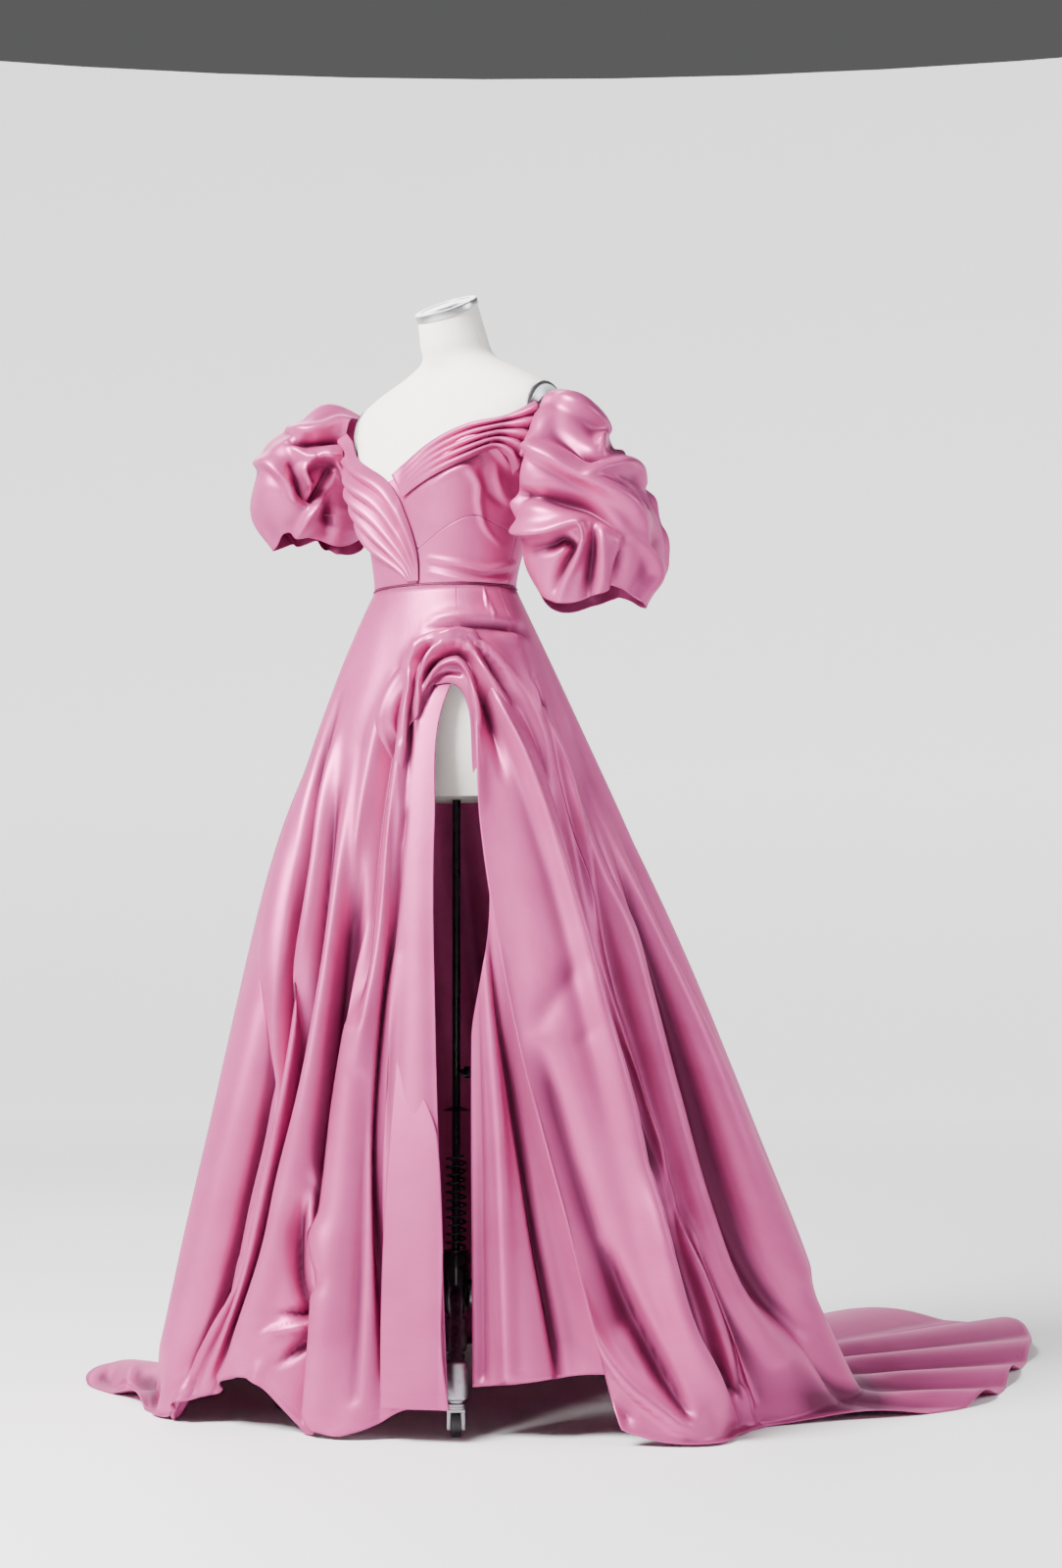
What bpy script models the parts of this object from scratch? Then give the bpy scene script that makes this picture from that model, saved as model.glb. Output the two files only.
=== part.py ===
"""Off-the-shoulder a-line gown in draped satin on a dress form with a castored stand.

Metres, +Z up. The gown's front faces -Y and the wearer's left is +X. Angles go round the
pole in degrees, from 0 at the front towards the wearer's left at 90 and the back at 180.
"""
import math

import bmesh
import bpy
import numpy as np
from mathutils import Matrix, Vector

# Cloth
WALL = 0.002
SEAM_GAP = 0.0003
BODICE_EASE = 0.0043

# Heights of the gown on the form
WAIST_Z = 1.2812
BODICE_Z = 1.2852
PIPING_Z = 1.2832
BUST_Z = 1.445

# Cloth's waist
WAIST_HALF_WIDTH = 0.1245
WAIST_HALF_DEPTH = 0.0965
WAIST_CENTRE_Y = -0.028

# Form and stand
FORM_BOTTOM_Z = 0.955
POLE_RADIUS = 0.0065
CASTOR_CIRCLE = 0.27
LEG_COUNT = 4
FIRST_LEG_ANGLE = 42.0
WHEEL_RADIUS = 0.018
WHEEL_SIDES = 20
WHEEL_FLAT = WHEEL_RADIUS * math.cos(math.pi / WHEEL_SIDES)


def table(columns, *rows):
    """A table as a dictionary of named columns."""
    values = np.array(rows, dtype=float).T
    return dict(zip(columns.split(), values))


def smooth(rows, column, key, at):
    """Read a column as a smooth curve through the table's rows."""
    xs = rows[key]
    ys = rows[column]
    slopes = np.gradient(ys, xs)
    at = np.clip(np.asarray(at, dtype=float), xs[0], xs[-1])
    i = np.clip(np.searchsorted(xs, at) - 1, 0, len(xs) - 2)
    span = xs[i + 1] - xs[i]
    t = (at - xs[i]) / span
    start = (1 + 2 * t) * (1 - t) ** 2 * ys[i] + t * (1 - t) ** 2 * span * slopes[i]
    end = t * t * (3 - 2 * t) * ys[i + 1] - t * t * (1 - t) * span * slopes[i + 1]
    return start + end


def ramp(x, low, high):
    """Rise smoothly from 0 at low to 1 at high."""
    t = np.clip((x - low) / (high - low), 0, 1)
    return t * t * (3 - 2 * t)


# Form's level sections, from the hips to the neck
TORSO = table(
    "height half_width half_depth centre_y squareness lean",
    (0.955, 0.150, 0.108, -0.010, 2.0, 0),
    (1.000, 0.160, 0.114, -0.010, 2.0, 0),
    (1.080, 0.160, 0.114, -0.014, 2.0, 0),
    (1.180, 0.140, 0.102, -0.022, 2.0, 0),
    (1.282, 0.119, 0.091, -0.028, 2.0, 0),
    (1.360, 0.130, 0.100, -0.022, 2.1, 0),
    (1.440, 0.148, 0.110, -0.012, 2.2, 0),
    (1.500, 0.176, 0.102, -0.002, 2.4, 0),
    (1.550, 0.194, 0.090, 0.006, 2.6, 0),
    (1.590, 0.188, 0.074, 0.010, 2.6, 0),
    (1.615, 0.150, 0.062, 0.012, 2.5, 0),
    (1.636, 0.105, 0.056, 0.010, 2.2, 3),
    (1.655, 0.066, 0.055, 0.004, 2.0, 8),
    (1.690, 0.053, 0.054, -0.010, 2.0, 18),
    (1.728, 0.049, 0.051, -0.022, 2.0, 27),
)
ARM_FLAT_X = 0.180
BUST_SWELL = 0.024
BUST_ANGLE = 31.0
BUST_ANGLE_SPREAD = 24.0
BUST_HEIGHT_SPREAD = 0.062

# Skirt: size of the standing cone and of the hem round the pole
SKIRT = table(
    "angle floor_radius hem_radius hem_lift swell",
    (38, 0.330, 0.330, 0.055, 0.45),
    (66, 0.385, 0.390, 0.070, 0.35),
    (78, 0.450, 0.455, 0.020, 0.30),
    (87, 0.500, 0.510, 0.000, 0.28),
    (100, 0.480, 0.500, 0.000, 0.26),
    (112, 0.510, 0.520, 0.000, 0.25),
    (119, 0.550, 0.590, 0.000, 0.24),
    (124, 0.585, 0.690, 0.000, 0.24),
    (129, 0.610, 0.770, 0.000, 0.24),
    (140, 0.640, 0.880, 0.000, 0.25),
    (152, 0.660, 1.000, 0.000, 0.27),
    (166, 0.690, 1.250, 0.000, 0.30),
    (174, 0.700, 1.430, 0.000, 0.32),
    (184, 0.700, 1.440, 0.000, 0.34),
    (196, 0.690, 1.280, 0.000, 0.38),
    (210, 0.660, 1.050, 0.000, 0.42),
    (226, 0.620, 0.880, 0.000, 0.48),
    (243, 0.580, 0.770, 0.000, 0.56),
    (260, 0.540, 0.710, 0.000, 0.66),
    (276, 0.505, 0.710, 0.000, 0.78),
    (285, 0.490, 0.690, 0.000, 0.84),
    (296, 0.470, 0.570, 0.000, 0.90),
    (306, 0.455, 0.490, 0.000, 0.92),
    (314, 0.450, 0.460, 0.000, 0.92),
    (324, 0.450, 0.460, 0.005, 0.85),
    (334, 0.400, 0.400, 0.050, 0.80),
    (346, 0.360, 0.360, 0.075, 0.75),
    (360, 0.330, 0.335, 0.002, 0.65),
    (376, 0.325, 0.325, 0.010, 0.55),
    (388, 0.325, 0.325, 0.045, 0.50),
    (400, 0.330, 0.330, 0.055, 0.45),
)

# Valleys between the skirt's folds: their angles at six drops from the waist (0) to the
# floor (1), and the fold that stands between each valley and the next
DROPS = np.array([0.0, 0.10, 0.16, 0.30, 0.55, 0.80, 1.0])
VALLEYS = table(
    "waist hip thigh lap knee shin floor rise start roll steps",
    (44, 46, 51, 53, 61.5, 71, 75.5, 0.020, 0.15, 0.3, 6),
    (60, 63, 70, 85.5, 98.0, 101, 106, 0.004, 0.20, 0.0, 2),
    (82, 88, 93, 99.5, 101.8, 104, 110, 0.026, 0.08, 0.6, 5),
    (96, 101, 104, 110.5, 117.6, 121, 129, 0.028, 0.08, 0.3, 5),
    (112, 117, 120, 126, 132, 137, 143, 0.032, 0.10, 0.4, 5),
    (132, 137, 139, 143, 149, 153, 158, 0.034, 0.08, 0.6, 5),
    (155, 158, 159, 162, 165, 168, 170, 0.030, 0.12, 0.6, 4),
    (180, 180, 180, 180, 180, 180, 180, 0.030, 0.12, 0.6, 4),
    (200, 200, 199, 198, 197, 196, 193, 0.034, 0.08, 0.6, 5),
    (219, 219, 218, 217, 214, 211, 207, 0.032, 0.10, 0.6, 5),
    (236, 236, 235, 234, 231, 229, 225, 0.032, 0.08, 0.6, 5),
    (252, 252, 251, 250, 249, 247, 243, 0.030, 0.10, 0.6, 5),
    (268, 267, 267, 266, 265, 264, 262, 0.032, 0.08, 0.6, 5),
    (284, 284, 284, 286, 292, 296, 292, 0.045, 0.03, 0.8, 6),
    (306, 305, 304, 311, 331, 333, 325, 0.026, 0.12, 0.7, 5),
    (326, 326, 322, 328, 342, 344, 333, 0.030, 0.16, 0.6, 6),
    (366, 367, 360, 357, 362, 361.5, 357, 0.030, 0.16, 0.6, 5),
    (380, 379, 375, 374, 378, 379, 382, 0.010, 0.16, 0.3, 4),
    (404, 404, 395, 393, 395, 398, 400, 0.0, 0.2, 0.0, 1),
)
SIDE_SEAM_LEFT = 2
CENTRE_BACK = 7
SIDE_SEAM_RIGHT = 12
SKIRT_ROWS = 14
PANEL_INSET = 0.004
ROW_CROWDING = 0.94
# The cone swells fast below the waist, and folds grow fast at first
SWELL_FADE = 2.2
FOLD_GROWTH = 0.7
SINK = 0.4
# Where the train meets the floor
FLOOR_BLEND = 0.030
FULL_BLEND_LENGTH = 0.05
LEAST_BLEND = 0.0005
FLOOR_TOUCH = 0.0004
LIES_FROM, LIES_TO = 0.97, 1.10
LYING_FOLD = 1.1
HEM_FLAT = 0.30


def torso_ring(height, angle, ease):
    """A point on the form's section at this height, moved out by ease."""
    wide = smooth(TORSO, "half_width", "height", height) + ease
    deep = smooth(TORSO, "half_depth", "height", height) + ease
    power = 2 / smooth(TORSO, "squareness", "height", height)
    turn = np.radians(angle)
    x = wide * np.sign(np.sin(turn)) * np.abs(np.sin(turn)) ** power
    y = -deep * np.sign(np.cos(turn)) * np.abs(np.cos(turn)) ** power
    flat = ARM_FLAT_X + ease
    return np.clip(x, -flat, flat), y + smooth(TORSO, "centre_y", "height", height)


def bust(angle, height):
    """How far the two soft cups swell the front."""
    side = np.abs((np.asarray(angle) + 180) % 360 - 180)
    around = np.exp(-((side - BUST_ANGLE) / BUST_ANGLE_SPREAD) ** 2)
    return BUST_SWELL * around * np.exp(-((height - BUST_Z) / BUST_HEIGHT_SPREAD) ** 2)


def body_point(angle, height, ease):
    """A point on the form or on cloth that lies this far out from it."""
    angle = np.asarray(angle, dtype=float)
    height = np.asarray(height, dtype=float) + 0 * angle
    out = ease + bust(angle, height)
    x, y = torso_ring(height, angle, out)
    return np.stack([x, y, height], axis=-1)


def valley_angles(drop):
    """Angles of every valley at this drop from the waist."""
    names = "waist hip thigh lap knee shin floor".split()
    marks = np.stack([VALLEYS[name] for name in names])
    below = dict(drop=DROPS)
    lines = []
    for j in range(marks.shape[1]):
        below["angle"] = marks[:, j]
        lines.append(smooth(below, "angle", "drop", drop))
    return np.stack(lines)


def skirt_base(angle, length):
    """The skirt with no folds, and its outward direction in the upright plane.

    length runs from 0 at the waist to 1 at the hem, past the floor where the train lies.
    """
    contact = smooth(SKIRT, "floor_radius", "angle", angle)
    hem = np.maximum(smooth(SKIRT, "hem_radius", "angle", angle), contact)
    lift = np.maximum(smooth(SKIRT, "hem_lift", "angle", angle), 0)
    swell = smooth(SKIRT, "swell", "angle", angle)
    lying = hem - contact
    standing = np.hypot(WAIST_Z, contact - WAIST_HALF_WIDTH)
    run = length * (standing + lying) / standing
    drop = np.minimum(run, 1)
    spread = drop + swell * drop * (1 - drop) ** SWELL_FADE
    beyond = np.maximum(run - 1, 0) * standing
    turn = np.radians(angle)
    waist_x = WAIST_HALF_WIDTH * np.sin(turn)
    waist_y = WAIST_CENTRE_Y - WAIST_HALF_DEPTH * np.cos(turn)
    reach = contact * spread + beyond
    x = (1 - spread) * waist_x + reach * np.sin(turn)
    y = (1 - spread) * waist_y - reach * np.cos(turn)
    height = WAIST_Z * (1 - run) + lift * drop
    blend = FLOOR_BLEND * lying / (lying + FULL_BLEND_LENGTH) + LEAST_BLEND
    soft = blend * np.logaddexp(0, (height - WALL / 2) / blend)
    z = np.maximum(soft - FLOOR_TOUCH, 0) + WALL / 2
    return np.stack([x, y, z], axis=-1), drop, ramp(run, LIES_FROM, LIES_TO)


def valley_sink(fold, part, drop):
    """How far the cloth between folds stands in, passing smoothly from fold to fold."""
    def shared(column):
        ends = np.concatenate([column[:1], column[:-1], column[-2:-1]])
        middles = (ends[:-1] + ends[1:]) / 2
        return middles[fold] * (1 - part) + middles[fold + 1] * part
    grown = ramp(drop, shared(VALLEYS["start"]), 1) ** FOLD_GROWTH
    return SINK * shared(VALLEYS["rise"]) * grown


def skirt_point(valley, length):
    """A point on the folded skirt. valley counts folds: 2.5 is the middle of fold 2."""
    valley = np.asarray(valley, dtype=float)
    length = np.asarray(length, dtype=float)
    fold = np.clip(np.floor(valley), 0, len(VALLEYS["rise"]) - 2).astype(int)
    part = valley - fold
    start = VALLEYS["start"][fold]
    roll = VALLEYS["roll"][fold]
    rise = VALLEYS["rise"][fold]
    across = part - roll * np.sin(2 * np.pi * part) / (2 * np.pi)
    drop = length
    for _ in range(3):
        lines = valley_angles(drop)
        low = np.take_along_axis(lines, fold[None], 0)[0]
        high = np.take_along_axis(lines, fold[None] + 1, 0)[0]
        grown = ramp(drop, start, 1) ** FOLD_GROWTH
        angle = low + (high - low) * (part + (across - part) * grown)
        base, drop, lying = skirt_base(angle, length)
    hump = (1 - np.cos(2 * np.pi * part)) / 2
    flat_hump = np.maximum(hump - HEM_FLAT, 0) ** 1.5
    shape = hump * (1 - lying) + flat_hump * LYING_FOLD * lying
    height = rise * grown * shape
    turn = np.radians(angle)
    outward = (height - valley_sink(fold, part, drop)) * (1 - lying)
    upward = height * lying
    move = np.stack([outward * np.sin(turn), -outward * np.cos(turn), upward], axis=-1)
    return base + move


def finite_normals(surface, u, v):
    """Normals of surface(u, v) from small steps along and across it."""
    step = 1e-4
    along = surface(u + step, v) - surface(u - step, v)
    across = surface(u, v + step) - surface(u, v - step)
    normal = np.cross(along, across)
    size = np.linalg.norm(normal, axis=-1, keepdims=True)
    return normal / np.maximum(size, 1e-12)


def grid_faces(rows, columns, closed):
    """Faces of a wall: two grids and the rim between their edges."""
    count = rows * columns
    index = np.arange(count).reshape(rows, columns)
    if closed:
        index = np.vstack([index, index[:1]])
        rows += 1
    faces = []
    for i in range(rows - 1):
        for j in range(columns - 1):
            quad = [index[i, j], index[i + 1, j], index[i + 1, j + 1], index[i, j + 1]]
            faces.append(quad)
            faces.append([quad[k] + count for k in (0, 3, 2, 1)])
    for edge in rims(index, closed):
        for here, there in zip(edge, edge[1:]):
            faces.append([there, here, here + count, there + count])
    return faces


def rims(index, closed):
    """The wall's free edges as runs of points, each with the wall on its left."""
    first = list(index[:, 0])
    last = list(index[::-1, -1])
    if closed:
        return [first, last]
    return [first + list(index[-1, 1:]) + last[1:] + list(index[0, ::-1][1:])]


def cloth_wall(name, surface, us, vs, closed=False):
    """A closed cloth wall on both sides of surface(u, v)."""
    u, v = np.meshgrid(us, vs, indexing="ij")
    middle = surface(u, v)
    normal = finite_normals(surface, u, v)
    points = np.concatenate([
        (middle + normal * WALL / 2).reshape(-1, 3),
        (middle - normal * WALL / 2).reshape(-1, 3),
    ])
    points[:, 2] = np.maximum(points[:, 2], 0)
    faces = grid_faces(len(us), len(vs), closed)
    mesh = bpy.data.meshes.new(name)
    corners = [[int(corner) for corner in face] for face in faces]
    mesh.from_pydata(points.tolist(), [], corners)
    return finish(name, mesh, SATIN)


def material(name, colour, roughness, metallic):
    """A plain Principled finish."""
    finish_material = bpy.data.materials.get(name)
    if finish_material:
        return finish_material
    finish_material = bpy.data.materials.new(name)
    finish_material.use_nodes = True
    shader = finish_material.node_tree.nodes["Principled BSDF"]
    shader.inputs["Base Color"].default_value = (*colour, 1)
    shader.inputs["Roughness"].default_value = roughness
    shader.inputs["Metallic"].default_value = metallic
    return finish_material


SATIN = ("satin", (0.62, 0.22, 0.40), 0.35, 0.0)
LINEN = ("linen", (0.86, 0.84, 0.79), 0.80, 0.0)
ALUMINIUM = ("aluminium", (0.62, 0.62, 0.62), 0.30, 1.0)
BLACK = ("black_enamel", (0.012, 0.012, 0.013), 0.28, 0.0)
CAST = ("cast_metal", (0.30, 0.30, 0.30), 0.45, 1.0)
TYRE = ("castor_tyre", (0.015, 0.015, 0.016), 0.50, 0.0)


def finish(name, mesh, look):
    """Make the object, give it its own material and put it in the gown's collection."""
    thing = bpy.data.objects.new(name, mesh)
    looks, colour, roughness, metallic = look
    mesh.materials.clear()
    mesh.materials.append(material(name + "_" + looks, colour, roughness, metallic))
    bpy.data.collections["gown_on_form"].objects.link(thing)
    thing.parent = bpy.data.objects["pole_axis"]
    return thing


def panel(name, first, last):
    """One skirt panel, from valley first to valley last, with a seam gap at each end."""
    marks = [first + PANEL_INSET]
    for fold in range(first, last):
        steps = int(VALLEYS["steps"][fold])
        marks += [fold + i / steps for i in range(1, steps)]
        marks.append(fold + 1)
    marks[-1] = last - PANEL_INSET
    lengths = np.linspace(0, 1, SKIRT_ROWS) ** ROW_CROWDING
    return cloth_wall(name, skirt_point, np.array(marks), lengths)


# Arched folds over the slit, measured across from the slit's middle plane
SLIT_ANGLE = 42.0
ARCH = table(
    "along outer_x outer_z inner_x inner_z",
    (0.00, -0.123, 0.955, -0.079, 0.927),
    (0.15, -0.117, 1.061, -0.075, 1.030),
    (0.30, -0.105, 1.121, -0.058, 1.084),
    (0.42, -0.069, 1.175, -0.043, 1.112),
    (0.50, -0.042, 1.199, -0.028, 1.123),
    (0.58, -0.016, 1.204, -0.009, 1.126),
    (0.68, 0.017, 1.193, 0.009, 1.117),
    (0.80, 0.051, 1.166, 0.022, 1.091),
    (0.90, 0.074, 1.130, 0.029, 1.054),
    (1.00, 0.096, 1.069, 0.033, 0.987),
)
ARCH_FOLDS = 3
ARCH_LIFT = 0.0038
ARCH_BULGE = 0.014
ARCH_BULGE_POWER = 0.7
ARCH_FADE = 0.3
ARCH_FOLD_HEIGHT = 0.008

# The turned-in layer inside the slit on the wearer's left: how far across its free edge
# hangs, and how deep behind the panel each part of it lies
FACING_TOP_Z = 0.80
FACING_BOTTOM_Z = 0.075
FACING_EDGE_X = 0.029
FACING_EDGE_DEPTH = 0.045
FACING_HOLLOW = 0.030
FACING_LAP = 0.03
# The outer flap beside the slit on the wearer's right
FLAP_TOP_Z = 0.640
FLAP = table(
    "height left_x right_x",
    (0.050, -0.103, -0.009),
    (0.120, -0.104, -0.018),
    (0.290, -0.102, -0.018),
    (0.460, -0.094, -0.029),
    (0.560, -0.088, -0.050),
    (0.640, -0.083, -0.068),
)
FLAP_LIFT = 0.0070
FLAP_FLARE = 0.014
FIRST_RADIUS = 0.2


def slit_point(across, height, out):
    """A point over the skirt's front, across from the slit's middle plane and moved out."""
    across = np.asarray(across, dtype=float)
    height = np.asarray(height, dtype=float)
    length = np.clip((WAIST_Z - height) / WAIST_Z, 0, 1)
    radius = FIRST_RADIUS + 0 * across
    for _ in range(8):
        sine = np.clip(across / radius, -0.95, 0.95)
        angle = SLIT_ANGLE + np.degrees(np.arcsin(sine))
        base = skirt_base(np.where(angle < 38, angle + 360, angle), length)[0]
        radius = np.hypot(base[..., 0], base[..., 1])
    turn = np.radians(angle)
    move = np.stack([out * np.sin(turn), -out * np.cos(turn), 0 * out], axis=-1)
    base[..., 2] = height
    return base + move


def slit_drape(along, part):
    """The arched folds, from the outer arch (part 0) to the inner one (part 1)."""
    across = [smooth(ARCH, side + "_x", "along", along) for side in ("outer", "inner")]
    height = [smooth(ARCH, side + "_z", "along", along) for side in ("outer", "inner")]
    x = across[0] * (1 - part) + across[1] * part
    z = height[0] * (1 - part) + height[1] * part
    bulge = ARCH_BULGE * np.sin(np.pi * np.clip(part, 0, 1)) ** ARCH_BULGE_POWER
    fold = ARCH_FOLD_HEIGHT * (1 - np.cos(2 * np.pi * ARCH_FOLDS * part)) / 2
    fade = ramp(along, -0.1, ARCH_FADE) * ramp(1 - along, -0.1, ARCH_FADE)
    return slit_point(x, z, ARCH_LIFT + (bulge + fold) * fade)


def facing_left(part, down):
    """The hanging inner layer, from behind the slit's edge (part 0) to its free edge."""
    height = FACING_TOP_Z + (FACING_BOTTOM_Z - FACING_TOP_Z) * down
    length = (WAIST_Z - height) / WAIST_Z
    behind = WALL + SEAM_GAP
    turn = math.radians(SLIT_ANGLE)
    inward = np.array([-math.sin(turn), math.cos(turn), 0])
    seam = skirt_point(FACING_LAP + 0 * length, length) + behind * inward
    free = slit_point(FACING_EDGE_X, height, -FACING_EDGE_DEPTH * ramp(down, -0.2, 0.6))
    part = np.asarray(part, dtype=float)[..., None]
    wave = np.sin(2 * np.pi * part) * (1 - part) * ramp(down, 0, 0.5)[..., None]
    return seam * (1 - part) + free * part + FACING_HOLLOW * wave * inward


def flap_right(part, down):
    """The outer flap of the right front panel beside the slit."""
    height = FLAP_TOP_Z + (FLAP["height"][0] - FLAP_TOP_Z) * down
    left = smooth(FLAP, "left_x", "height", height)
    right = smooth(FLAP, "right_x", "height", height)
    return slit_point(left + (right - left) * part, height, FLAP_LIFT + FLAP_FLARE * down)


# Bodice's seams: half gaps in degrees, the side seams, and edges as heights round the body
SEAM_ANGLE = 0.15
WRAP_ANGLE = 0.7
SIDE_ANGLE = 95
WRAP_EDGE = table(
    "height angle",
    (1.280, 12.9),
    (1.338, 12.2),
    (1.390, 3.5),
    (1.440, -6.0),
    (1.460, -9.0),
)
BODICE_TOP = table(
    "angle height",
    (-95, 1.462),
    (-75, 1.500),
    (-50, 1.500),
    (-25, 1.470),
    (-9, 1.446),
    (10, 1.490),
    (25, 1.512),
    (50, 1.520),
    (75, 1.500),
    (95, 1.462),
    (130, 1.486),
    (180, 1.496),
    (230, 1.486),
    (265, 1.462),
)
UNDERBUST = table(
    "angle height",
    (11, 1.336),
    (19, 1.348),
    (35, 1.372),
    (50, 1.387),
    (75, 1.374),
    (95, 1.364),
)


def bodice_panel(low_angle, high_angle, low_height, high_height):
    """A fitted panel between two edges (angles by height) and two ends (heights by angle)."""
    def surface(u, v):
        part = 1 - u
        angle = low_angle(BODICE_Z) + (high_angle(BODICE_Z) - low_angle(BODICE_Z)) * part
        height = low_height(angle) + (high_height(angle) - low_height(angle)) * (1 - v)
        angle = low_angle(height) + (high_angle(height) - low_angle(height)) * part
        height = low_height(angle) + (high_height(angle) - low_height(angle)) * (1 - v)
        return body_point(angle, height, BODICE_EASE)
    return surface


def make_bodice():
    """Fitted panels of the bodice."""
    def steady(value):
        return lambda at: value + 0 * at

    def top(angle):
        return smooth(BODICE_TOP, "height", "angle", angle)

    def underbust(angle):
        return smooth(UNDERBUST, "height", "angle", angle)

    def wrap(height):
        return smooth(WRAP_EDGE, "angle", "height", height)

    gap = SEAM_ANGLE
    floor = steady(BODICE_Z)
    panels = (
        ("bodice_front_right", steady(-SIDE_ANGLE + gap), lambda h: wrap(h) - WRAP_ANGLE,
         floor, top, 11, 8),
        ("bodice_midriff", lambda h: wrap(h) + gap, steady(SIDE_ANGLE - gap), floor,
         lambda a: underbust(a) - 2 * SEAM_GAP, 10, 4),
        ("bodice_cup_left", lambda h: wrap(h) + gap, steady(SIDE_ANGLE - gap), underbust, top, 10, 7),
        ("bodice_back_left", steady(SIDE_ANGLE + gap), steady(180 - gap), floor, top, 8, 6),
        ("bodice_back_right", steady(180 + gap), steady(360 - SIDE_ANGLE - gap), floor, top, 8, 6),
    )
    for name, low_angle, high_angle, low, high, across, up in panels:
        surface = bodice_panel(low_angle, high_angle, low, high)
        cloth_wall(name, surface, np.linspace(0, 1, across), np.linspace(0, 1, up))


# Pleated bands over the bodice: their two edges, from the narrow end to the shoulder
DRAPE_RIGHT = table(
    "along inner_angle inner_z outer_angle outer_z",
    (0.00, 14.0, 1.2890, 4.0, 1.2890),
    (0.15, 13.0, 1.325, -5.0, 1.306),
    (0.35, 5.5, 1.385, -18.0, 1.324),
    (0.55, -6.0, 1.447, -36.0, 1.346),
    (0.70, -18.0, 1.474, -52.0, 1.376),
    (0.85, -38.0, 1.508, -66.0, 1.406),
    (1.00, -60.0, 1.552, -74.0, 1.430),
)
DRAPE_LEFT = table(
    "along inner_angle inner_z outer_angle outer_z",
    (0.00, -4.5, 1.458, 3.0, 1.420),
    (0.20, 10.0, 1.506, 19.0, 1.442),
    (0.40, 26.0, 1.530, 36.0, 1.466),
    (0.60, 45.0, 1.538, 50.0, 1.486),
    (0.80, 56.0, 1.547, 62.0, 1.476),
    (1.00, 67.0, 1.562, 74.0, 1.450),
)
DRAPE_EASE = {1: 0.0080, -1: 0.0088}
DRAPE_PLEATS = 5
DRAPE_PLEAT_HEIGHT = 0.009
SHOULDER_EASE = 0.0132


def drape(rows, side):
    """A pleated band over the bodice, from its inner edge (part 0) to its outer edge."""
    def surface(u, v):
        part = u if side > 0 else 1 - u
        angle = (smooth(rows, "inner_angle", "along", v) * (1 - part)
                 + smooth(rows, "outer_angle", "along", v) * part)
        height = (smooth(rows, "inner_z", "along", v) * (1 - part)
                  + smooth(rows, "outer_z", "along", v) * part)
        pleat = (1 - np.cos(2 * np.pi * DRAPE_PLEATS * part)) / 2
        out = DRAPE_EASE[side] + DRAPE_PLEAT_HEIGHT * pleat * ramp(v, 0, 0.5)
        out = out + SHOULDER_EASE * ramp(np.abs(angle), 50, 66) * ramp(height, 1.42, 1.50)
        return body_point(angle, height, out)
    return surface


# Sleeves: the tube's middle, how steeply it falls and its two half-widths
SLEEVE_LEFT = table(
    "along x y z fall wide deep",
    (0.00, 0.203, 0.000, 1.512, 12, 0.062, 0.060),
    (0.25, 0.232, -0.008, 1.492, 28, 0.066, 0.080),
    (0.42, 0.244, -0.016, 1.448, 45, 0.074, 0.100),
    (0.62, 0.266, -0.014, 1.400, 62, 0.094, 0.106),
    (0.84, 0.279, -0.004, 1.316, 80, 0.104, 0.102),
    (1.00, 0.278, 0.000, 1.250, 90, 0.080, 0.080),
)
SLEEVE_RIGHT = table(
    "along x y z fall wide deep",
    (0.00, -0.1925, 0.000, 1.520, 8, 0.062, 0.060),
    (0.22, -0.234, -0.012, 1.534, 15, 0.074, 0.082),
    (0.42, -0.262, -0.026, 1.510, 32, 0.080, 0.102),
    (0.66, -0.292, -0.028, 1.470, 60, 0.094, 0.110),
    (0.86, -0.300, -0.020, 1.420, 80, 0.090, 0.100),
    (1.00, -0.296, -0.012, 1.385, 90, 0.070, 0.078),
)
SLEEVE_TIERS = 3.2
SLEEVE_SLANT = 0.5
SLEEVE_PHASE = 0.2
SLEEVE_TIER_HEIGHT = 0.026
SLEEVE_GATHERS = 5
SLEEVE_GATHER_HEIGHT = 0.006
SLEEVE_GATHER_TURN = 3
SLEEVE_TIER_SINK = 0.4
SLEEVE_GROWS_TO = 0.32
SLEEVE_TOP_SHARE = 0.4
SLEEVE_COLUMNS = 24
SLEEVE_ROWS = 14


def sleeve(rows, side):
    """A puffed sleeve as a tube round its falling middle line, swagged in slanting tiers."""
    def surface(u, v):
        turn = 2 * np.pi * u
        fall = np.radians(smooth(rows, "fall", "along", v))
        wide = smooth(rows, "wide", "along", v)
        deep = smooth(rows, "deep", "along", v)
        tier = SLEEVE_TIERS * v - SLEEVE_SLANT * np.cos(turn) + SLEEVE_PHASE
        gather = SLEEVE_GATHER_HEIGHT * np.cos(SLEEVE_GATHERS * turn + SLEEVE_GATHER_TURN * v)
        swag = (1 - np.cos(2 * np.pi * tier)) / 2 - SLEEVE_TIER_SINK
        above = 1 + SLEEVE_TOP_SHARE * (np.cos(turn) - 1)
        rise = (SLEEVE_TIER_HEIGHT * swag + gather) * ramp(v, 0, SLEEVE_GROWS_TO) * above
        up = (wide + rise) * np.cos(turn)
        y = smooth(rows, "y", "along", v) + (deep + rise) * np.sin(turn)
        x = smooth(rows, "x", "along", v) + side * up * np.sin(fall)
        z = smooth(rows, "z", "along", v) + up * np.cos(fall)
        return np.stack([x, y, z], axis=-1)
    return surface


def make_sleeves():
    """Both sleeves, each an open tube."""
    us = np.arange(SLEEVE_COLUMNS) / SLEEVE_COLUMNS
    vs = np.linspace(0, 1, SLEEVE_ROWS)
    cloth_wall("sleeve_left", sleeve(SLEEVE_LEFT, 1), us, vs, closed=True)
    cloth_wall("sleeve_right", sleeve(SLEEVE_RIGHT, -1), us, vs, closed=True)


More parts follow.
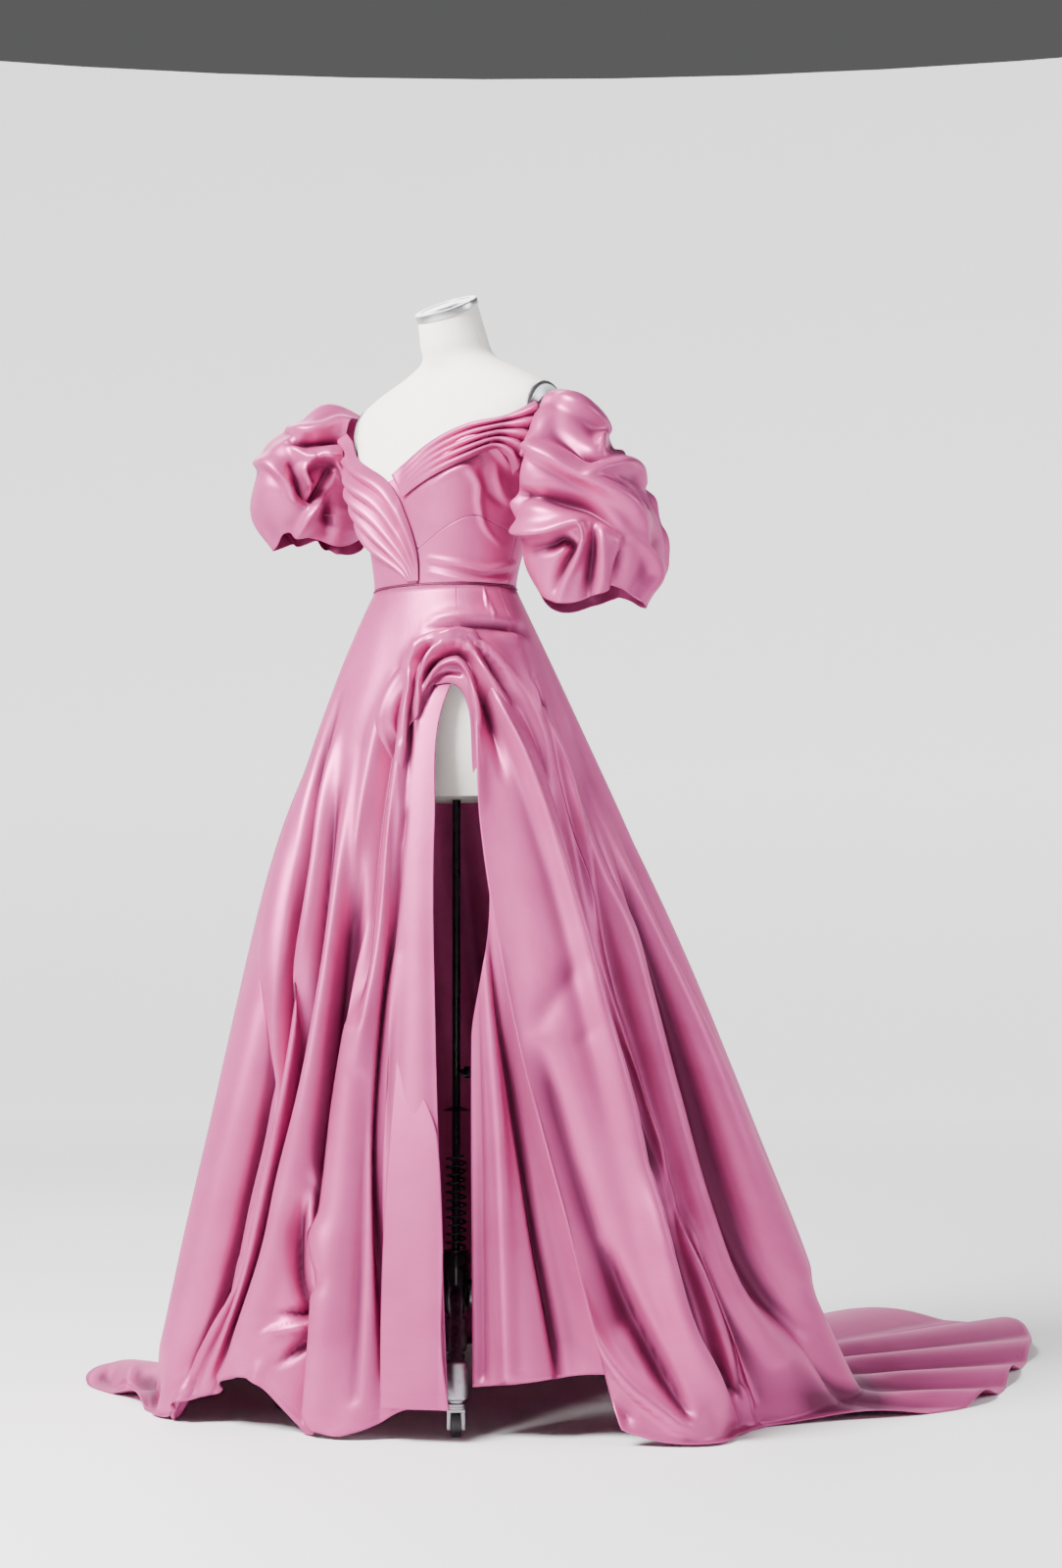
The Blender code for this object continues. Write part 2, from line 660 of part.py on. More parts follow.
def make_skirt():
    """Four panels, the arched folds over the slit and the layers beside it."""
    panel("skirt_front_left", 0, SIDE_SEAM_LEFT)
    panel("skirt_back_left", SIDE_SEAM_LEFT, CENTRE_BACK)
    panel("skirt_back_right", CENTRE_BACK, SIDE_SEAM_RIGHT)
    panel("skirt_front_right", SIDE_SEAM_RIGHT, len(VALLEYS["rise"]) - 1)
    across = np.linspace(0, 1, ARCH_FOLDS * 4 + 1)
    cloth_wall("slit_drape", slit_drape, np.linspace(0, 1, 19), across)
    few = np.linspace(0, 1, 8)
    cloth_wall("slit_facing_left", facing_left, few, np.linspace(0, 1, 9))
    cloth_wall("slit_flap_right", flap_right, np.linspace(0, 1, 6), np.linspace(0, 1, 8))


def loft(name, rings, look):
    """A solid through closed rings of points, from bottom to top."""
    count = len(rings[0])
    points = np.concatenate(rings)
    faces = [list(range(count))[::-1], list(range(len(points) - count, len(points)))]
    for i in range(len(rings) - 1):
        for j in range(count):
            k = (j + 1) % count
            low, high = i * count, (i + 1) * count
            faces.append([low + j, low + k, high + k, high + j])
    mesh = bpy.data.meshes.new(name)
    mesh.from_pydata(points.tolist(), [], faces)
    return finish(name, mesh, look)


def turned(name, profile, centre, look, sides=20):
    """A turned piece: a profile of (radius, height) from the top down, screwed round."""
    mesh = bpy.data.meshes.new(name)
    points = [(radius, 0, height) for radius, height in profile]
    edges = [(i, i + 1) for i in range(len(points) - 1)]
    mesh.from_pydata(points, edges, [])
    thing = finish(name, mesh, look)
    thing.location = centre
    screw = thing.modifiers.new("Turn", "SCREW")
    screw.steps = sides
    screw.render_steps = sides
    screw.use_merge_vertices = True
    screw.merge_threshold = 0.00005
    return thing


def capped(*corners):
    """Close a turned profile at the axis, above and below."""
    return [(0, corners[0][1]), *corners, (0, corners[-1][1])]


TORSO_SIDES = 24
NECK_TOP_Z = 1.728
NECK_LEAN = 27.0
CAP_RADIUS = 0.0515
CAP_THICKNESS = 0.012
PLATE_HALF = (0.050, 0.064)
PLATE_Z = 1.538
PLATE_THICKNESS = 0.009
PLATE_STEP = 0.0025


def make_form():
    """Limbless torso, neck cap and two arm plates."""
    angles = np.arange(TORSO_SIDES) * 360 / TORSO_SIDES
    rings = []
    for i, height in enumerate(TORSO["height"]):
        x, y = torso_ring(height + 0 * angles, angles, bust(angles, height))
        lean = math.radians(TORSO["lean"][i])
        middle = TORSO["centre_y"][i]
        z = height + (y - middle) * math.sin(lean)
        rings.append(np.stack([x, middle + (y - middle) * math.cos(lean), z], axis=-1))
    loft("form_torso", rings, LINEN)

    lean = math.radians(NECK_LEAN)
    along = Vector((0, -math.sin(lean), math.cos(lean)))
    foot = Vector((0, TORSO["centre_y"][-1], NECK_TOP_Z)) + along * SEAM_GAP
    rim = 0.0015
    cap = turned("neck_cap", capped(
        (CAP_RADIUS - rim, CAP_THICKNESS),
        (CAP_RADIUS, CAP_THICKNESS - rim),
        (CAP_RADIUS, 0),
    ), foot, ALUMINIUM, sides=28)
    cap.rotation_euler = (lean, 0, 0)

    for side, name in ((1, "arm_plate_left"), (-1, "arm_plate_right")):
        plate = turned(name, capped(
            (0.55, PLATE_THICKNESS),
            (0.62, PLATE_THICKNESS - PLATE_STEP),
            (0.93, PLATE_THICKNESS - PLATE_STEP),
            (1.0, PLATE_THICKNESS - 2 * PLATE_STEP),
            (1.0, 0),
        ), (side * (ARM_FLAT_X + SEAM_GAP), 0.004, PLATE_Z), ALUMINIUM, sides=24)
        plate.scale = (PLATE_HALF[1], PLATE_HALF[0], 1)
        plate.rotation_euler = (0, side * math.pi / 2, 0)


# Stand
KNOB_Z = 0.526
COLLAR_Z = 0.469
SPRING_TOP_Z = 0.395
SPRING_BOTTOM_Z = 0.2488
SPRING_TURNS = 11
SPRING_RADIUS = 0.0150
SPRING_WIRE = 0.0019
HUB_TOP_Z = 0.245
HUB_BOTTOM_Z = 0.150
HUB_RADIUS = 0.0215
STEM_TOP_Z = 0.112
STEM_BOTTOM_Z = 0.0425
STEM_RADIUS = 0.0180
FORK_TOP_Z = 0.0422
FORK_WIDTH = 0.0270
FORK_GAP = 0.0146
FORK_LENGTH = 0.0180
FORK_FOOT_Z = 0.0110
WHEEL_WIDTH = 0.0140
TRAIL = 0.004
SEAT_HEIGHT = 0.004
COLLAR_RADIUS = 0.0245
COLLAR_HALF_HEIGHT = 0.003
KNOB_RADIUS = 0.0095
KNOB_NECK = 0.0045
KNOB_LENGTH = 0.021
KNOB_ANGLE = 104.0
PEDAL_SIZE = (0.016, 0.060, 0.010)
PEDAL_Z = 0.200
PIPING_RADIUS = 0.0015


def make_column():
    """Pole, height knob, lock collar, spring, its seat, hub and pedal."""
    turned("pole", capped(
        (POLE_RADIUS, FORM_BOTTOM_Z - SEAM_GAP),
        (POLE_RADIUS, HUB_TOP_Z + SEAT_HEIGHT + SEAM_GAP),
    ), (0, 0, 0), BLACK, sides=16)
    turned("lock_collar", [
        (POLE_RADIUS + SEAM_GAP, COLLAR_HALF_HEIGHT),
        (COLLAR_RADIUS, COLLAR_HALF_HEIGHT),
        (COLLAR_RADIUS, -COLLAR_HALF_HEIGHT),
        (POLE_RADIUS + SEAM_GAP, -COLLAR_HALF_HEIGHT),
        (POLE_RADIUS + SEAM_GAP, COLLAR_HALF_HEIGHT),
    ], (0, 0, COLLAR_Z), BLACK, sides=20)
    knob = turned("height_knob", capped(
        (KNOB_RADIUS, KNOB_LENGTH),
        (KNOB_RADIUS, KNOB_LENGTH * 0.48),
        (KNOB_NECK, KNOB_LENGTH * 0.38),
        (KNOB_NECK, 0),
    ), (0, 0, 0), BLACK, sides=14)
    turn = math.radians(KNOB_ANGLE)
    outward = Vector((math.sin(turn), -math.cos(turn), 0))
    knob.location = outward * (POLE_RADIUS + SEAM_GAP) + Vector((0, 0, KNOB_Z))
    knob.rotation_euler = outward.to_track_quat("Z", "Y").to_euler()
    turned("spring_seat", capped(
        (HUB_RADIUS - 0.001, SEAT_HEIGHT),
        (HUB_RADIUS - 0.001, 0),
    ), (0, 0, HUB_TOP_Z + SEAM_GAP / 2), BLACK)
    turned("hub", capped(
        (HUB_RADIUS - 0.003, HUB_TOP_Z),
        (HUB_RADIUS, HUB_TOP_Z - 0.004),
        (HUB_RADIUS, HUB_BOTTOM_Z + 0.03),
        (HUB_RADIUS - 0.004, HUB_BOTTOM_Z),
    ), (0, 0, 0), BLACK)
    make_spring()
    make_pedal()


def make_spring():
    """A coil round the pole, between the collar and its seat."""
    curve = bpy.data.curves.new("spring", "CURVE")
    curve.dimensions = "3D"
    curve.bevel_depth = SPRING_WIRE
    curve.bevel_resolution = 1
    curve.use_fill_caps = True
    line = curve.splines.new("POLY")
    per_turn = 8
    steps = SPRING_TURNS * per_turn
    low = SPRING_BOTTOM_Z + SPRING_WIRE + SEAM_GAP
    line.points.add(steps)
    for i, point in enumerate(line.points):
        turn = 2 * math.pi * i / per_turn
        height = low + (SPRING_TOP_Z - low) * i / steps
        x = SPRING_RADIUS * math.cos(turn)
        y = SPRING_RADIUS * math.sin(turn)
        point.co = (x, y, height, 1)
    finish("spring", curve, BLACK)


def make_pedal():
    """The foot lever that frees the column, beside the hub."""
    mesh = bpy.data.meshes.new("pedal")
    shape = bmesh.new()
    bmesh.ops.create_cube(shape, size=1)
    bmesh.ops.scale(shape, vec=PEDAL_SIZE, verts=shape.verts)
    shape.to_mesh(mesh)
    shape.free()
    lever = finish("pedal", mesh, BLACK)
    turn = math.radians(FIRST_LEG_ANGLE + 45)
    outward = Vector((math.sin(turn), -math.cos(turn), 0))
    reach = HUB_RADIUS + PEDAL_SIZE[1] / 2 + SEAM_GAP
    lever.location = outward * reach + Vector((0, 0, PEDAL_Z))
    lever.rotation_euler = (0, 0, turn)
    bevel = lever.modifiers.new("Round", "BEVEL")
    bevel.width = 0.003
    bevel.segments = 2


LEG_PATH = table(
    "along reach height half_width half_height",
    (0.0, 0.0217, 0.176, 0.0110, 0.0180),
    (0.2, 0.0600, 0.170, 0.0100, 0.0150),
    (0.5, 0.1300, 0.148, 0.0090, 0.0120),
    (0.8, 0.2100, 0.118, 0.0090, 0.0110),
    (1.0, 0.2515, 0.098, 0.0100, 0.0110),
)


def leg_point(part, sideways, upward, out):
    """A point on a leg's section."""
    reach = smooth(LEG_PATH, "reach", "along", part)
    height = smooth(LEG_PATH, "height", "along", part)
    wide = smooth(LEG_PATH, "half_width", "along", part)
    tall = smooth(LEG_PATH, "half_height", "along", part)
    return reach * out + wide * sideways + np.array([0, 0, height + tall * upward])


def make_leg(number, turn):
    """A cast leg from the hub to its castor."""
    out = np.array([math.sin(turn), -math.cos(turn), 0])
    side = np.array([math.cos(turn), math.sin(turn), 0])
    rings = []
    for part in np.linspace(0, 1, 7):
        ring = []
        for corner in range(10):
            angle = 2 * math.pi * corner / 10
            ring.append(leg_point(part, side * math.cos(angle), math.sin(angle), out))
        rings.append(np.array(ring))
    loft("leg_" + number, rings, CAST)


def make_castor(number, turn):
    """A castor: the stem at the leg's end, the fork that swivels under it and the wheel."""
    out = Vector((math.sin(turn), -math.cos(turn), 0))
    foot = out * CASTOR_CIRCLE
    turned("castor_stem_" + number, capped(
        (STEM_RADIUS - 0.004, STEM_TOP_Z),
        (STEM_RADIUS, STEM_TOP_Z - 0.004),
        (STEM_RADIUS, STEM_BOTTOM_Z + 0.016),
        (STEM_RADIUS - 0.006, STEM_BOTTOM_Z + 0.012),
        (STEM_RADIUS - 0.003, STEM_BOTTOM_Z + 0.008),
        (STEM_RADIUS - 0.003, STEM_BOTTOM_Z),
    ), foot, CAST, sides=16)
    make_fork("castor_fork_" + number, foot, turn)
    bevel = 0.0015
    wheel = turned("castor_wheel_" + number, capped(
        (WHEEL_RADIUS - bevel, WHEEL_WIDTH / 2),
        (WHEEL_RADIUS, WHEEL_WIDTH / 2 - bevel),
        (WHEEL_RADIUS, -WHEEL_WIDTH / 2 + bevel),
        (WHEEL_RADIUS - bevel, -WHEEL_WIDTH / 2),
    ), foot - out * TRAIL + Vector((0, 0, WHEEL_FLAT)), TYRE, sides=WHEEL_SIDES)
    half_step = math.pi / WHEEL_SIDES
    wheel.rotation_euler = (
        Matrix.Rotation(turn, 3, "Z") @ Matrix.Rotation(math.pi / 2, 3, "Y")
        @ Matrix.Rotation(half_step, 3, "Z")
    ).to_euler()


def make_fork(name, foot, turn):
    """A fork as a flat outline of its bridge and cheeks, drawn out to its length."""
    half, gap = FORK_WIDTH / 2, FORK_GAP / 2
    bridge = WHEEL_FLAT + WHEEL_RADIUS + 0.0012
    outline = (
        (-half, FORK_FOOT_Z), (-gap, FORK_FOOT_Z), (-gap, bridge), (gap, bridge),
        (gap, FORK_FOOT_Z), (half, FORK_FOOT_Z), (half, FORK_TOP_Z), (-half, FORK_TOP_Z),
    )
    curve = bpy.data.curves.new(name, "CURVE")
    curve.dimensions = "2D"
    curve.fill_mode = "BOTH"
    curve.extrude = FORK_LENGTH / 2
    line = curve.splines.new("POLY")
    line.points.add(len(outline) - 1)
    for point, (x, y) in zip(line.points, outline):
        point.co = (x, y, 0, 1)
    line.use_cyclic_u = True
    fork = finish(name, curve, CAST)
    fork.location = foot
    upright = Matrix.Rotation(math.pi / 2, 3, "X")
    fork.rotation_euler = (Matrix.Rotation(turn, 3, "Z") @ upright).to_euler()


def make_stand():
    """Column, legs and castors."""
    make_column()
    for i in range(LEG_COUNT):
        turn = math.radians(FIRST_LEG_ANGLE + i * 360 / LEG_COUNT)
        make_leg(str(i + 1), turn)
        make_castor(str(i + 1), turn)


def make_piping():
    """A thin cord round the waist seam."""
    curve = bpy.data.curves.new("waist_piping", "CURVE")
    curve.dimensions = "3D"
    curve.bevel_depth = PIPING_RADIUS
    curve.bevel_resolution = 1
    line = curve.splines.new("POLY")
    count = 40
    line.points.add(count - 1)
    for i, point in enumerate(line.points):
        turn = 2 * math.pi * i / count
        x = WAIST_HALF_WIDTH * math.sin(turn)
        y = WAIST_CENTRE_Y - WAIST_HALF_DEPTH * math.cos(turn)
        point.co = (x, y, PIPING_Z, 1)
    line.use_cyclic_u = True
    finish("waist_piping", curve, SATIN)


def stand_over_origin():
    """Shift everything so that the middle of its footprint is the origin."""
    bpy.context.view_layer.update()
    graph = bpy.context.evaluated_depsgraph_get()
    corners = []
    for thing in bpy.data.collections["gown_on_form"].objects:
        if thing.type == "EMPTY":
            continue
        shape = thing.evaluated_get(graph)
        mesh = shape.to_mesh()
        corners += [shape.matrix_world @ vertex.co for vertex in mesh.vertices]
        shape.to_mesh_clear()
    low = [min(corner[axis] for corner in corners) for axis in range(3)]
    high = [max(corner[axis] for corner in corners) for axis in range(3)]
    axis = bpy.data.objects["pole_axis"]
    axis.location = (-(low[0] + high[0]) / 2, -(low[1] + high[1]) / 2, -low[2])


def main():
    """Build the gown, the form and the stand round the pole's axis."""
    for thing in list(bpy.data.objects):
        bpy.data.objects.remove(thing, do_unlink=True)
    parts = bpy.data.collections.new("gown_on_form")
    bpy.context.scene.collection.children.link(parts)
    parts.objects.link(bpy.data.objects.new("pole_axis", None))
    make_form()
    make_stand()
    make_bodice()
    cloth_wall("drape_right", drape(DRAPE_RIGHT, 1),
               np.linspace(0, 1, DRAPE_PLEATS * 4 + 1), np.linspace(0, 1, 9))
    cloth_wall("drape_left", drape(DRAPE_LEFT, -1),
               np.linspace(0, 1, DRAPE_PLEATS * 4 + 1), np.linspace(0, 1, 9))
    make_sleeves()
    make_piping()
    make_skirt()
    stand_over_origin()


main()
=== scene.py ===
# %% [markdown]
# # A draped satin gown on a dress form
#
# The gown is an off-the-shoulder a-line in heavy duchess satin. Its bodice is fitted, its
# sleeves and the top of its slit are swagged by hand, and its skirt falls in long cones to
# a train. The frame below holds the solids that the cloth is laid over. Loading it first
# means that every new piece can be set straight onto what carries it.

# %% Load the frame
import math

import bmesh
import bpy
import numpy as np
from mathutils import Matrix, Vector


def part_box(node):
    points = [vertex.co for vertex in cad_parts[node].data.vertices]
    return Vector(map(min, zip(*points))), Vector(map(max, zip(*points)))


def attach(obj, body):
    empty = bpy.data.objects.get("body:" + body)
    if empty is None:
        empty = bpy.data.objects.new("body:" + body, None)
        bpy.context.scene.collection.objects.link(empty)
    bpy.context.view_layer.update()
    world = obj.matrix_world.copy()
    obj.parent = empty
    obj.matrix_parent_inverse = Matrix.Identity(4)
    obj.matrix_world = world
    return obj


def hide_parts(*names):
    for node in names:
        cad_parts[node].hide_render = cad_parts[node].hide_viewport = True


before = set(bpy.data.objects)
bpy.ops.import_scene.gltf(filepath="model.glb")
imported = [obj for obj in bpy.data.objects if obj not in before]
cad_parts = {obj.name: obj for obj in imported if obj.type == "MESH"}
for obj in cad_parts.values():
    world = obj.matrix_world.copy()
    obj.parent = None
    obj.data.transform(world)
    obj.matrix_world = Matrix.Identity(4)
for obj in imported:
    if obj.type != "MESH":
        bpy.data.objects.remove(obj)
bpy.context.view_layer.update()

# %% [markdown]
# Everything is measured from the pole. It stands upright through the middle of the form, so
# its box gives the axis, and angles round the gown are counted from the front towards the
# wearer's left.

# %% Find the pole's axis
pole_low, pole_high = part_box("pole")
axis = Vector(((pole_low[0] + pole_high[0]) / 2, (pole_low[1] + pole_high[1]) / 2, 0))
print("pole axis:", [round(value, 4) for value in axis])

# %% [markdown]
# The camera stands 4.8 m from the pole, at hip height, 42 degrees round to the wearer's
# left of the front. It looks slightly to the right and slightly up, so that the train has
# room in the frame.

# %% Set the camera
CAMERA_ANGLE = math.radians(42)
CAMERA_DISTANCE = 4.8
CAMERA_HEIGHT = 0.723
FOCAL_PIXELS = 3100
IMAGE_HEIGHT = 1600
SENSOR_HEIGHT = 36
PIXELS_RIGHT = 76
PIXELS_UP = 166
toward = Vector((math.sin(CAMERA_ANGLE), -math.cos(CAMERA_ANGLE), 0))
sideways = Vector((math.cos(CAMERA_ANGLE), math.sin(CAMERA_ANGLE), 0))
tilt = math.atan2(PIXELS_UP, FOCAL_PIXELS)
pan = math.atan2(PIXELS_RIGHT, FOCAL_PIXELS)
level = -toward * math.cos(pan) + sideways * math.sin(pan)
look = level * math.cos(tilt) + Vector((0, 0, math.sin(tilt)))
camera_data = bpy.data.cameras.new("camera")
camera_data.sensor_fit = "VERTICAL"
camera_data.sensor_height = SENSOR_HEIGHT
camera_data.lens = SENSOR_HEIGHT * FOCAL_PIXELS / IMAGE_HEIGHT
camera = bpy.data.objects.new("camera", camera_data)
camera.location = axis + toward * CAMERA_DISTANCE + Vector((0, 0, CAMERA_HEIGHT))
camera.rotation_euler = look.to_track_quat("-Z", "Y").to_euler()
bpy.context.scene.collection.objects.link(camera)
bpy.context.scene.camera = camera
print("camera lens:", round(camera_data.lens, 1), "mm")

# %% [markdown]
# Five small helpers keep the materials short. The first makes a Principled material and hands
# back its nodes, so that each finish below only says what makes it different. The second adds
# one node and wires it up, and the others use it for noise, a blend of two colours and bumps.

# %% Helpers for materials


def new_finish(name, colour, roughness, metallic=0.0):
    """A Principled material, its node tree and its shader."""
    finish = bpy.data.materials.new(name)
    finish.use_nodes = True
    tree = finish.node_tree
    shader = tree.nodes["Principled BSDF"]
    shader.inputs["Base Color"].default_value = (*colour, 1)
    shader.inputs["Roughness"].default_value = roughness
    shader.inputs["Metallic"].default_value = metallic
    return finish, tree, shader


def wired(tree, kind, sockets, out, **choices):
    """The named output of a new node. Each socket gets a number or the output that feeds it."""
    node = tree.nodes.new("ShaderNode" + kind)
    for choice, value in choices.items():
        setattr(node, choice, value)
    for socket, value in sockets.items():
        if isinstance(value, bpy.types.NodeSocket):
            tree.links.new(value, node.inputs[socket])
        else:
            node.inputs[socket].default_value = value
    return node.outputs[out]


def noise(tree, vector, scale, detail=2.0, stretch=None):
    """A noise texture on the given coordinates, stretched along some axes if asked."""
    if stretch:
        vector = wired(tree, "Mapping", {"Scale": stretch, "Vector": vector}, "Vector")
    return wired(tree, "TexNoise", {"Scale": scale, "Detail": detail, "Vector": vector}, "Fac")


def blend_colours(tree, factor, low, high):
    """A ramp from one colour to another."""
    ramp_node = tree.nodes.new("ShaderNodeValToRGB")
    for end, colour, place in zip(ramp_node.color_ramp.elements, (low, high), (0.3, 0.7)):
        end.color = (*colour, 1)
        end.position = place
    tree.links.new(factor, ramp_node.inputs["Fac"])
    return ramp_node.outputs["Color"]


def bump(tree, height, distance, strength, before=None):
    """A bump node; before is the bump that it adds to."""
    sockets = {"Distance": distance, "Strength": strength, "Height": height}
    if before:
        sockets["Normal"] = before
    return wired(tree, "Bump", sockets, "Normal")


# %% [markdown]
# The studio has a pale floor that curves up into a pale wall, so no hard line runs behind the
# gown. The wall ends 5 m up, and the dim world above it shows as a grey strip along the top of
# the picture. Behind the gown the floor and wall glow with painted light, from none level with
# the pole to full strength on the far wall. Large soft lamps stand in for the window light that
# makes satin glow: a broad, bright one from the front and above, and two weak ones from the side
# and from behind.

# %% Make the floor and the lamps
STAGE_RADIUS = 8.5
STAGE_HEIGHT = 5.0
CURVE_RADIUS = 1.5
CURVE_STEPS = 12
LAMP_AIM_HEIGHT = 0.9
bpy.ops.object.select_all(action="DESELECT")
bpy.ops.mesh.primitive_circle_add(vertices=96, radius=STAGE_RADIUS, fill_type="NGON",
                                  location=axis)
floor = bpy.context.object
floor.name = "floor"
bpy.ops.object.mode_set(mode="EDIT")
bpy.ops.mesh.select_all(action="SELECT")
bpy.ops.mesh.inset(thickness=0.001, use_outset=True)
bpy.ops.object.mode_set(mode="OBJECT")
shape = bmesh.new()
shape.from_mesh(floor.data)
rim = [edge for edge in shape.edges if edge.is_boundary]
for step in range(1, CURVE_STEPS + 1):
    turn = math.pi / 2 * step / CURVE_STEPS
    grown = bmesh.ops.extrude_edge_only(shape, edges=rim)["geom"]
    rim = [item for item in grown if isinstance(item, bmesh.types.BMEdge)]
    for vertex in {end for edge in rim for end in edge.verts}:
        outward = Vector((vertex.co.x, vertex.co.y, 0)).normalized()
        vertex.co = outward * (STAGE_RADIUS + CURVE_RADIUS * math.sin(turn))
        vertex.co.z = CURVE_RADIUS * (1 - math.cos(turn))
grown = bmesh.ops.extrude_edge_only(shape, edges=rim)["geom"]
for vertex in [item for item in grown if isinstance(item, bmesh.types.BMVert)]:
    vertex.co.z = STAGE_HEIGHT
bmesh.ops.recalc_face_normals(shape, faces=shape.faces)
shape.to_mesh(floor.data)
shape.free()
bpy.ops.object.shade_smooth()


def backdrop(name, near, far, glow):
    """A matt pale finish with a painted glow that grows more and more towards the wall behind the
    gown.
    """
    finish, tree, shader = new_finish(name, (0.90, 0.90, 0.91), 0.7)
    shader.inputs["Emission Color"].default_value = (1.0, 1.0, 1.0, 1)
    places = wired(tree, "TexCoord", {}, "Object")
    behind = wired(tree, "VectorMath", {0: places, 1: tuple(-toward)}, "Value",
                   operation="DOT_PRODUCT")
    share = wired(tree, "MapRange",
                  {"From Min": near, "From Max": far, "To Max": glow, "Value": behind}, "Result",
                  interpolation_type="SMOOTHSTEP")
    # Painted light: floor and wall glow, though they are no lamp, more and more behind the gown.
    tree.links.new(share, shader.inputs["Emission Strength"])
    return finish


floor.data.materials.append(backdrop("pale_sweep_painted_glow", 0.0, 6.5, 0.95))


def lamp(name, angle, height, distance, size, power, colour):
    """A square soft lamp that looks at the gown's waist."""
    data = bpy.data.lights.new(name, "AREA")
    data.shape = "SQUARE"
    data.size = size
    data.energy = power
    data.color = colour
    thing = bpy.data.objects.new(name, data)
    turn = math.radians(angle)
    thing.location = axis + Vector((math.sin(turn) * distance, -math.cos(turn) * distance, height))
    aim = axis + Vector((0, 0, LAMP_AIM_HEIGHT)) - thing.location
    thing.rotation_euler = aim.to_track_quat("-Z", "Y").to_euler()
    bpy.context.scene.collection.objects.link(thing)


lamp("key_lamp", -8, 3.6, 3.0, 1.8, 800, (1.0, 0.98, 0.97))
lamp("side_lamp", 118, 2.6, 3.8, 1.4, 60, (0.97, 0.98, 1.0))
lamp("back_lamp", 235, 3.4, 3.6, 1.8, 110, (1.0, 1.0, 1.0))
world = bpy.data.worlds.new("studio")
bpy.context.scene.world = world
world.use_nodes = True
background = world.node_tree.nodes["Background"]
background.inputs["Color"].default_value = (0.93, 0.93, 0.94, 1)
background.inputs["Strength"].default_value = 0.12
print("floor faces:", len(floor.data.polygons), "lamps:", len(bpy.data.lights))

# %% [markdown]
# Duchess satin is a close, heavy weave whose long floating threads give it a broad, soft
# shine. The colour comes from a mauve-pink dye that drifts a little from thread to thread.
# The shine comes from a middling roughness and a pink tint. The bump is only the thread
# lines, the hem's long stitches and the faint crinkle that a hand feels. In the hollows of
# folds the colour is painted darker: painted shade, read from how deep each fold runs.

# %% Make the satin
HEM_DEPTH = 0.022
STITCH_HALF_WIDTH = 0.0009
STITCH_WAVE_SCALE = 14.0
# How dark the painted shade in the hollows of folds is, as a share of the deep colour.
HOLLOW_SHADE = 0.28


def stitch_line(tree, cut):
    """A dashed line of long stitches, one hem's depth above the edge of the cloth."""
    hem = wired(tree, "Attribute", {}, "Fac", attribute_name="hem_distance")
    on_line = wired(tree, "Math", {0: hem, 1: HEM_DEPTH, 2: STITCH_HALF_WIDTH}, 0,
                    operation="COMPARE")
    dashes = wired(tree, "TexWave", {"Scale": STITCH_WAVE_SCALE, "Vector": cut}, "Fac")
    sewn = wired(tree, "Math", {0: on_line, 1: dashes}, 0, operation="MULTIPLY")
    return wired(tree, "Math", {0: 1.0, 1: sewn}, 0, operation="SUBTRACT")


def satin_finish(name, colour, deep):
    """Satin whose threads run along the piece's own cut, with painted shade in its fold hollows.
    """
    finish, tree, shader = new_finish(name, colour, 0.45, 0.55)
    shader.inputs["Specular Tint"].default_value = (0.85, 0.42, 0.65, 1)
    cut = wired(tree, "TexCoord", {}, "UV")
    drift = noise(tree, cut, 9.0, 3.0)
    threads = noise(tree, cut, 60.0, 2.0, (1.0, 26.0, 1.0))
    mixed = wired(tree, "Math", {0: threads, 1: 0.25, 2: drift}, 0, operation="MULTIPLY_ADD")
    thread_colour = blend_colours(tree, mixed, deep, colour)
    # Painted shade: the base colour darkens to a shade colour where the fold height is low.
    hollow = wired(tree, "Attribute", {}, "Fac", attribute_name="fold_height")
    share = wired(tree, "MapRange", {"From Min": 0.02, "From Max": 0.56, "Value": hollow},
                  "Result")
    painted_shade_colour = (*[HOLLOW_SHADE * part for part in deep], 1)
    shaded = wired(tree, "Mix", {"A": painted_shade_colour, "B": thread_colour, "Factor": share},
                   "Result", data_type="RGBA")
    tree.links.new(shaded, shader.inputs["Base Color"])
    stitches = bump(tree, stitch_line(tree, cut), 0.0008, 0.7)
    weave = bump(tree, threads, 0.00012, 0.35, stitches)
    crinkle = bump(tree, noise(tree, cut, 38.0, 4.0), 0.0006, 0.35, weave)
    tree.links.new(crinkle, shader.inputs["Normal"])
    return finish


SATIN = satin_finish("mauve_satin", (0.505, 0.086, 0.252), (0.430, 0.060, 0.202))
print("satin nodes:", len(SATIN.node_tree.nodes))

# %% [markdown]
# The cloth kit follows the same tables as the solids: sections of the form, a table of the
# skirt's size round the hem, and a table of the valleys between its folds. Here the same
# functions are read on a much finer grid.

# %% Read tables as smooth curves


def table(columns, *rows):
    """A table as a dictionary of named columns."""
    values = np.array(rows, dtype=float).T
    return dict(zip(columns.split(), values))


def smooth(rows, column, key, at):
    """Read a column as a smooth curve through the table's rows."""
    xs = rows[key]
    ys = rows[column]
    slopes = np.gradient(ys, xs)
    at = np.clip(np.asarray(at, dtype=float), xs[0], xs[-1])
    i = np.clip(np.searchsorted(xs, at) - 1, 0, len(xs) - 2)
    span = xs[i + 1] - xs[i]
    t = (at - xs[i]) / span
    start = (1 + 2 * t) * (1 - t) ** 2 * ys[i] + t * (1 - t) ** 2 * span * slopes[i]
    end = t * t * (3 - 2 * t) * ys[i + 1] - t * t * (1 - t) * span * slopes[i + 1]
    return start + end


def ramp(x, low, high):
    """Rise smoothly from 0 at low to 1 at high."""
    t = np.clip((x - low) / (high - low), 0, 1)
    return t * t * (3 - 2 * t)


# %% [markdown]
# The form is read as a stack of rounded sections from the hips to the neck. Two soft swells
# at the front make the bust, and each arm opening is cut flat.

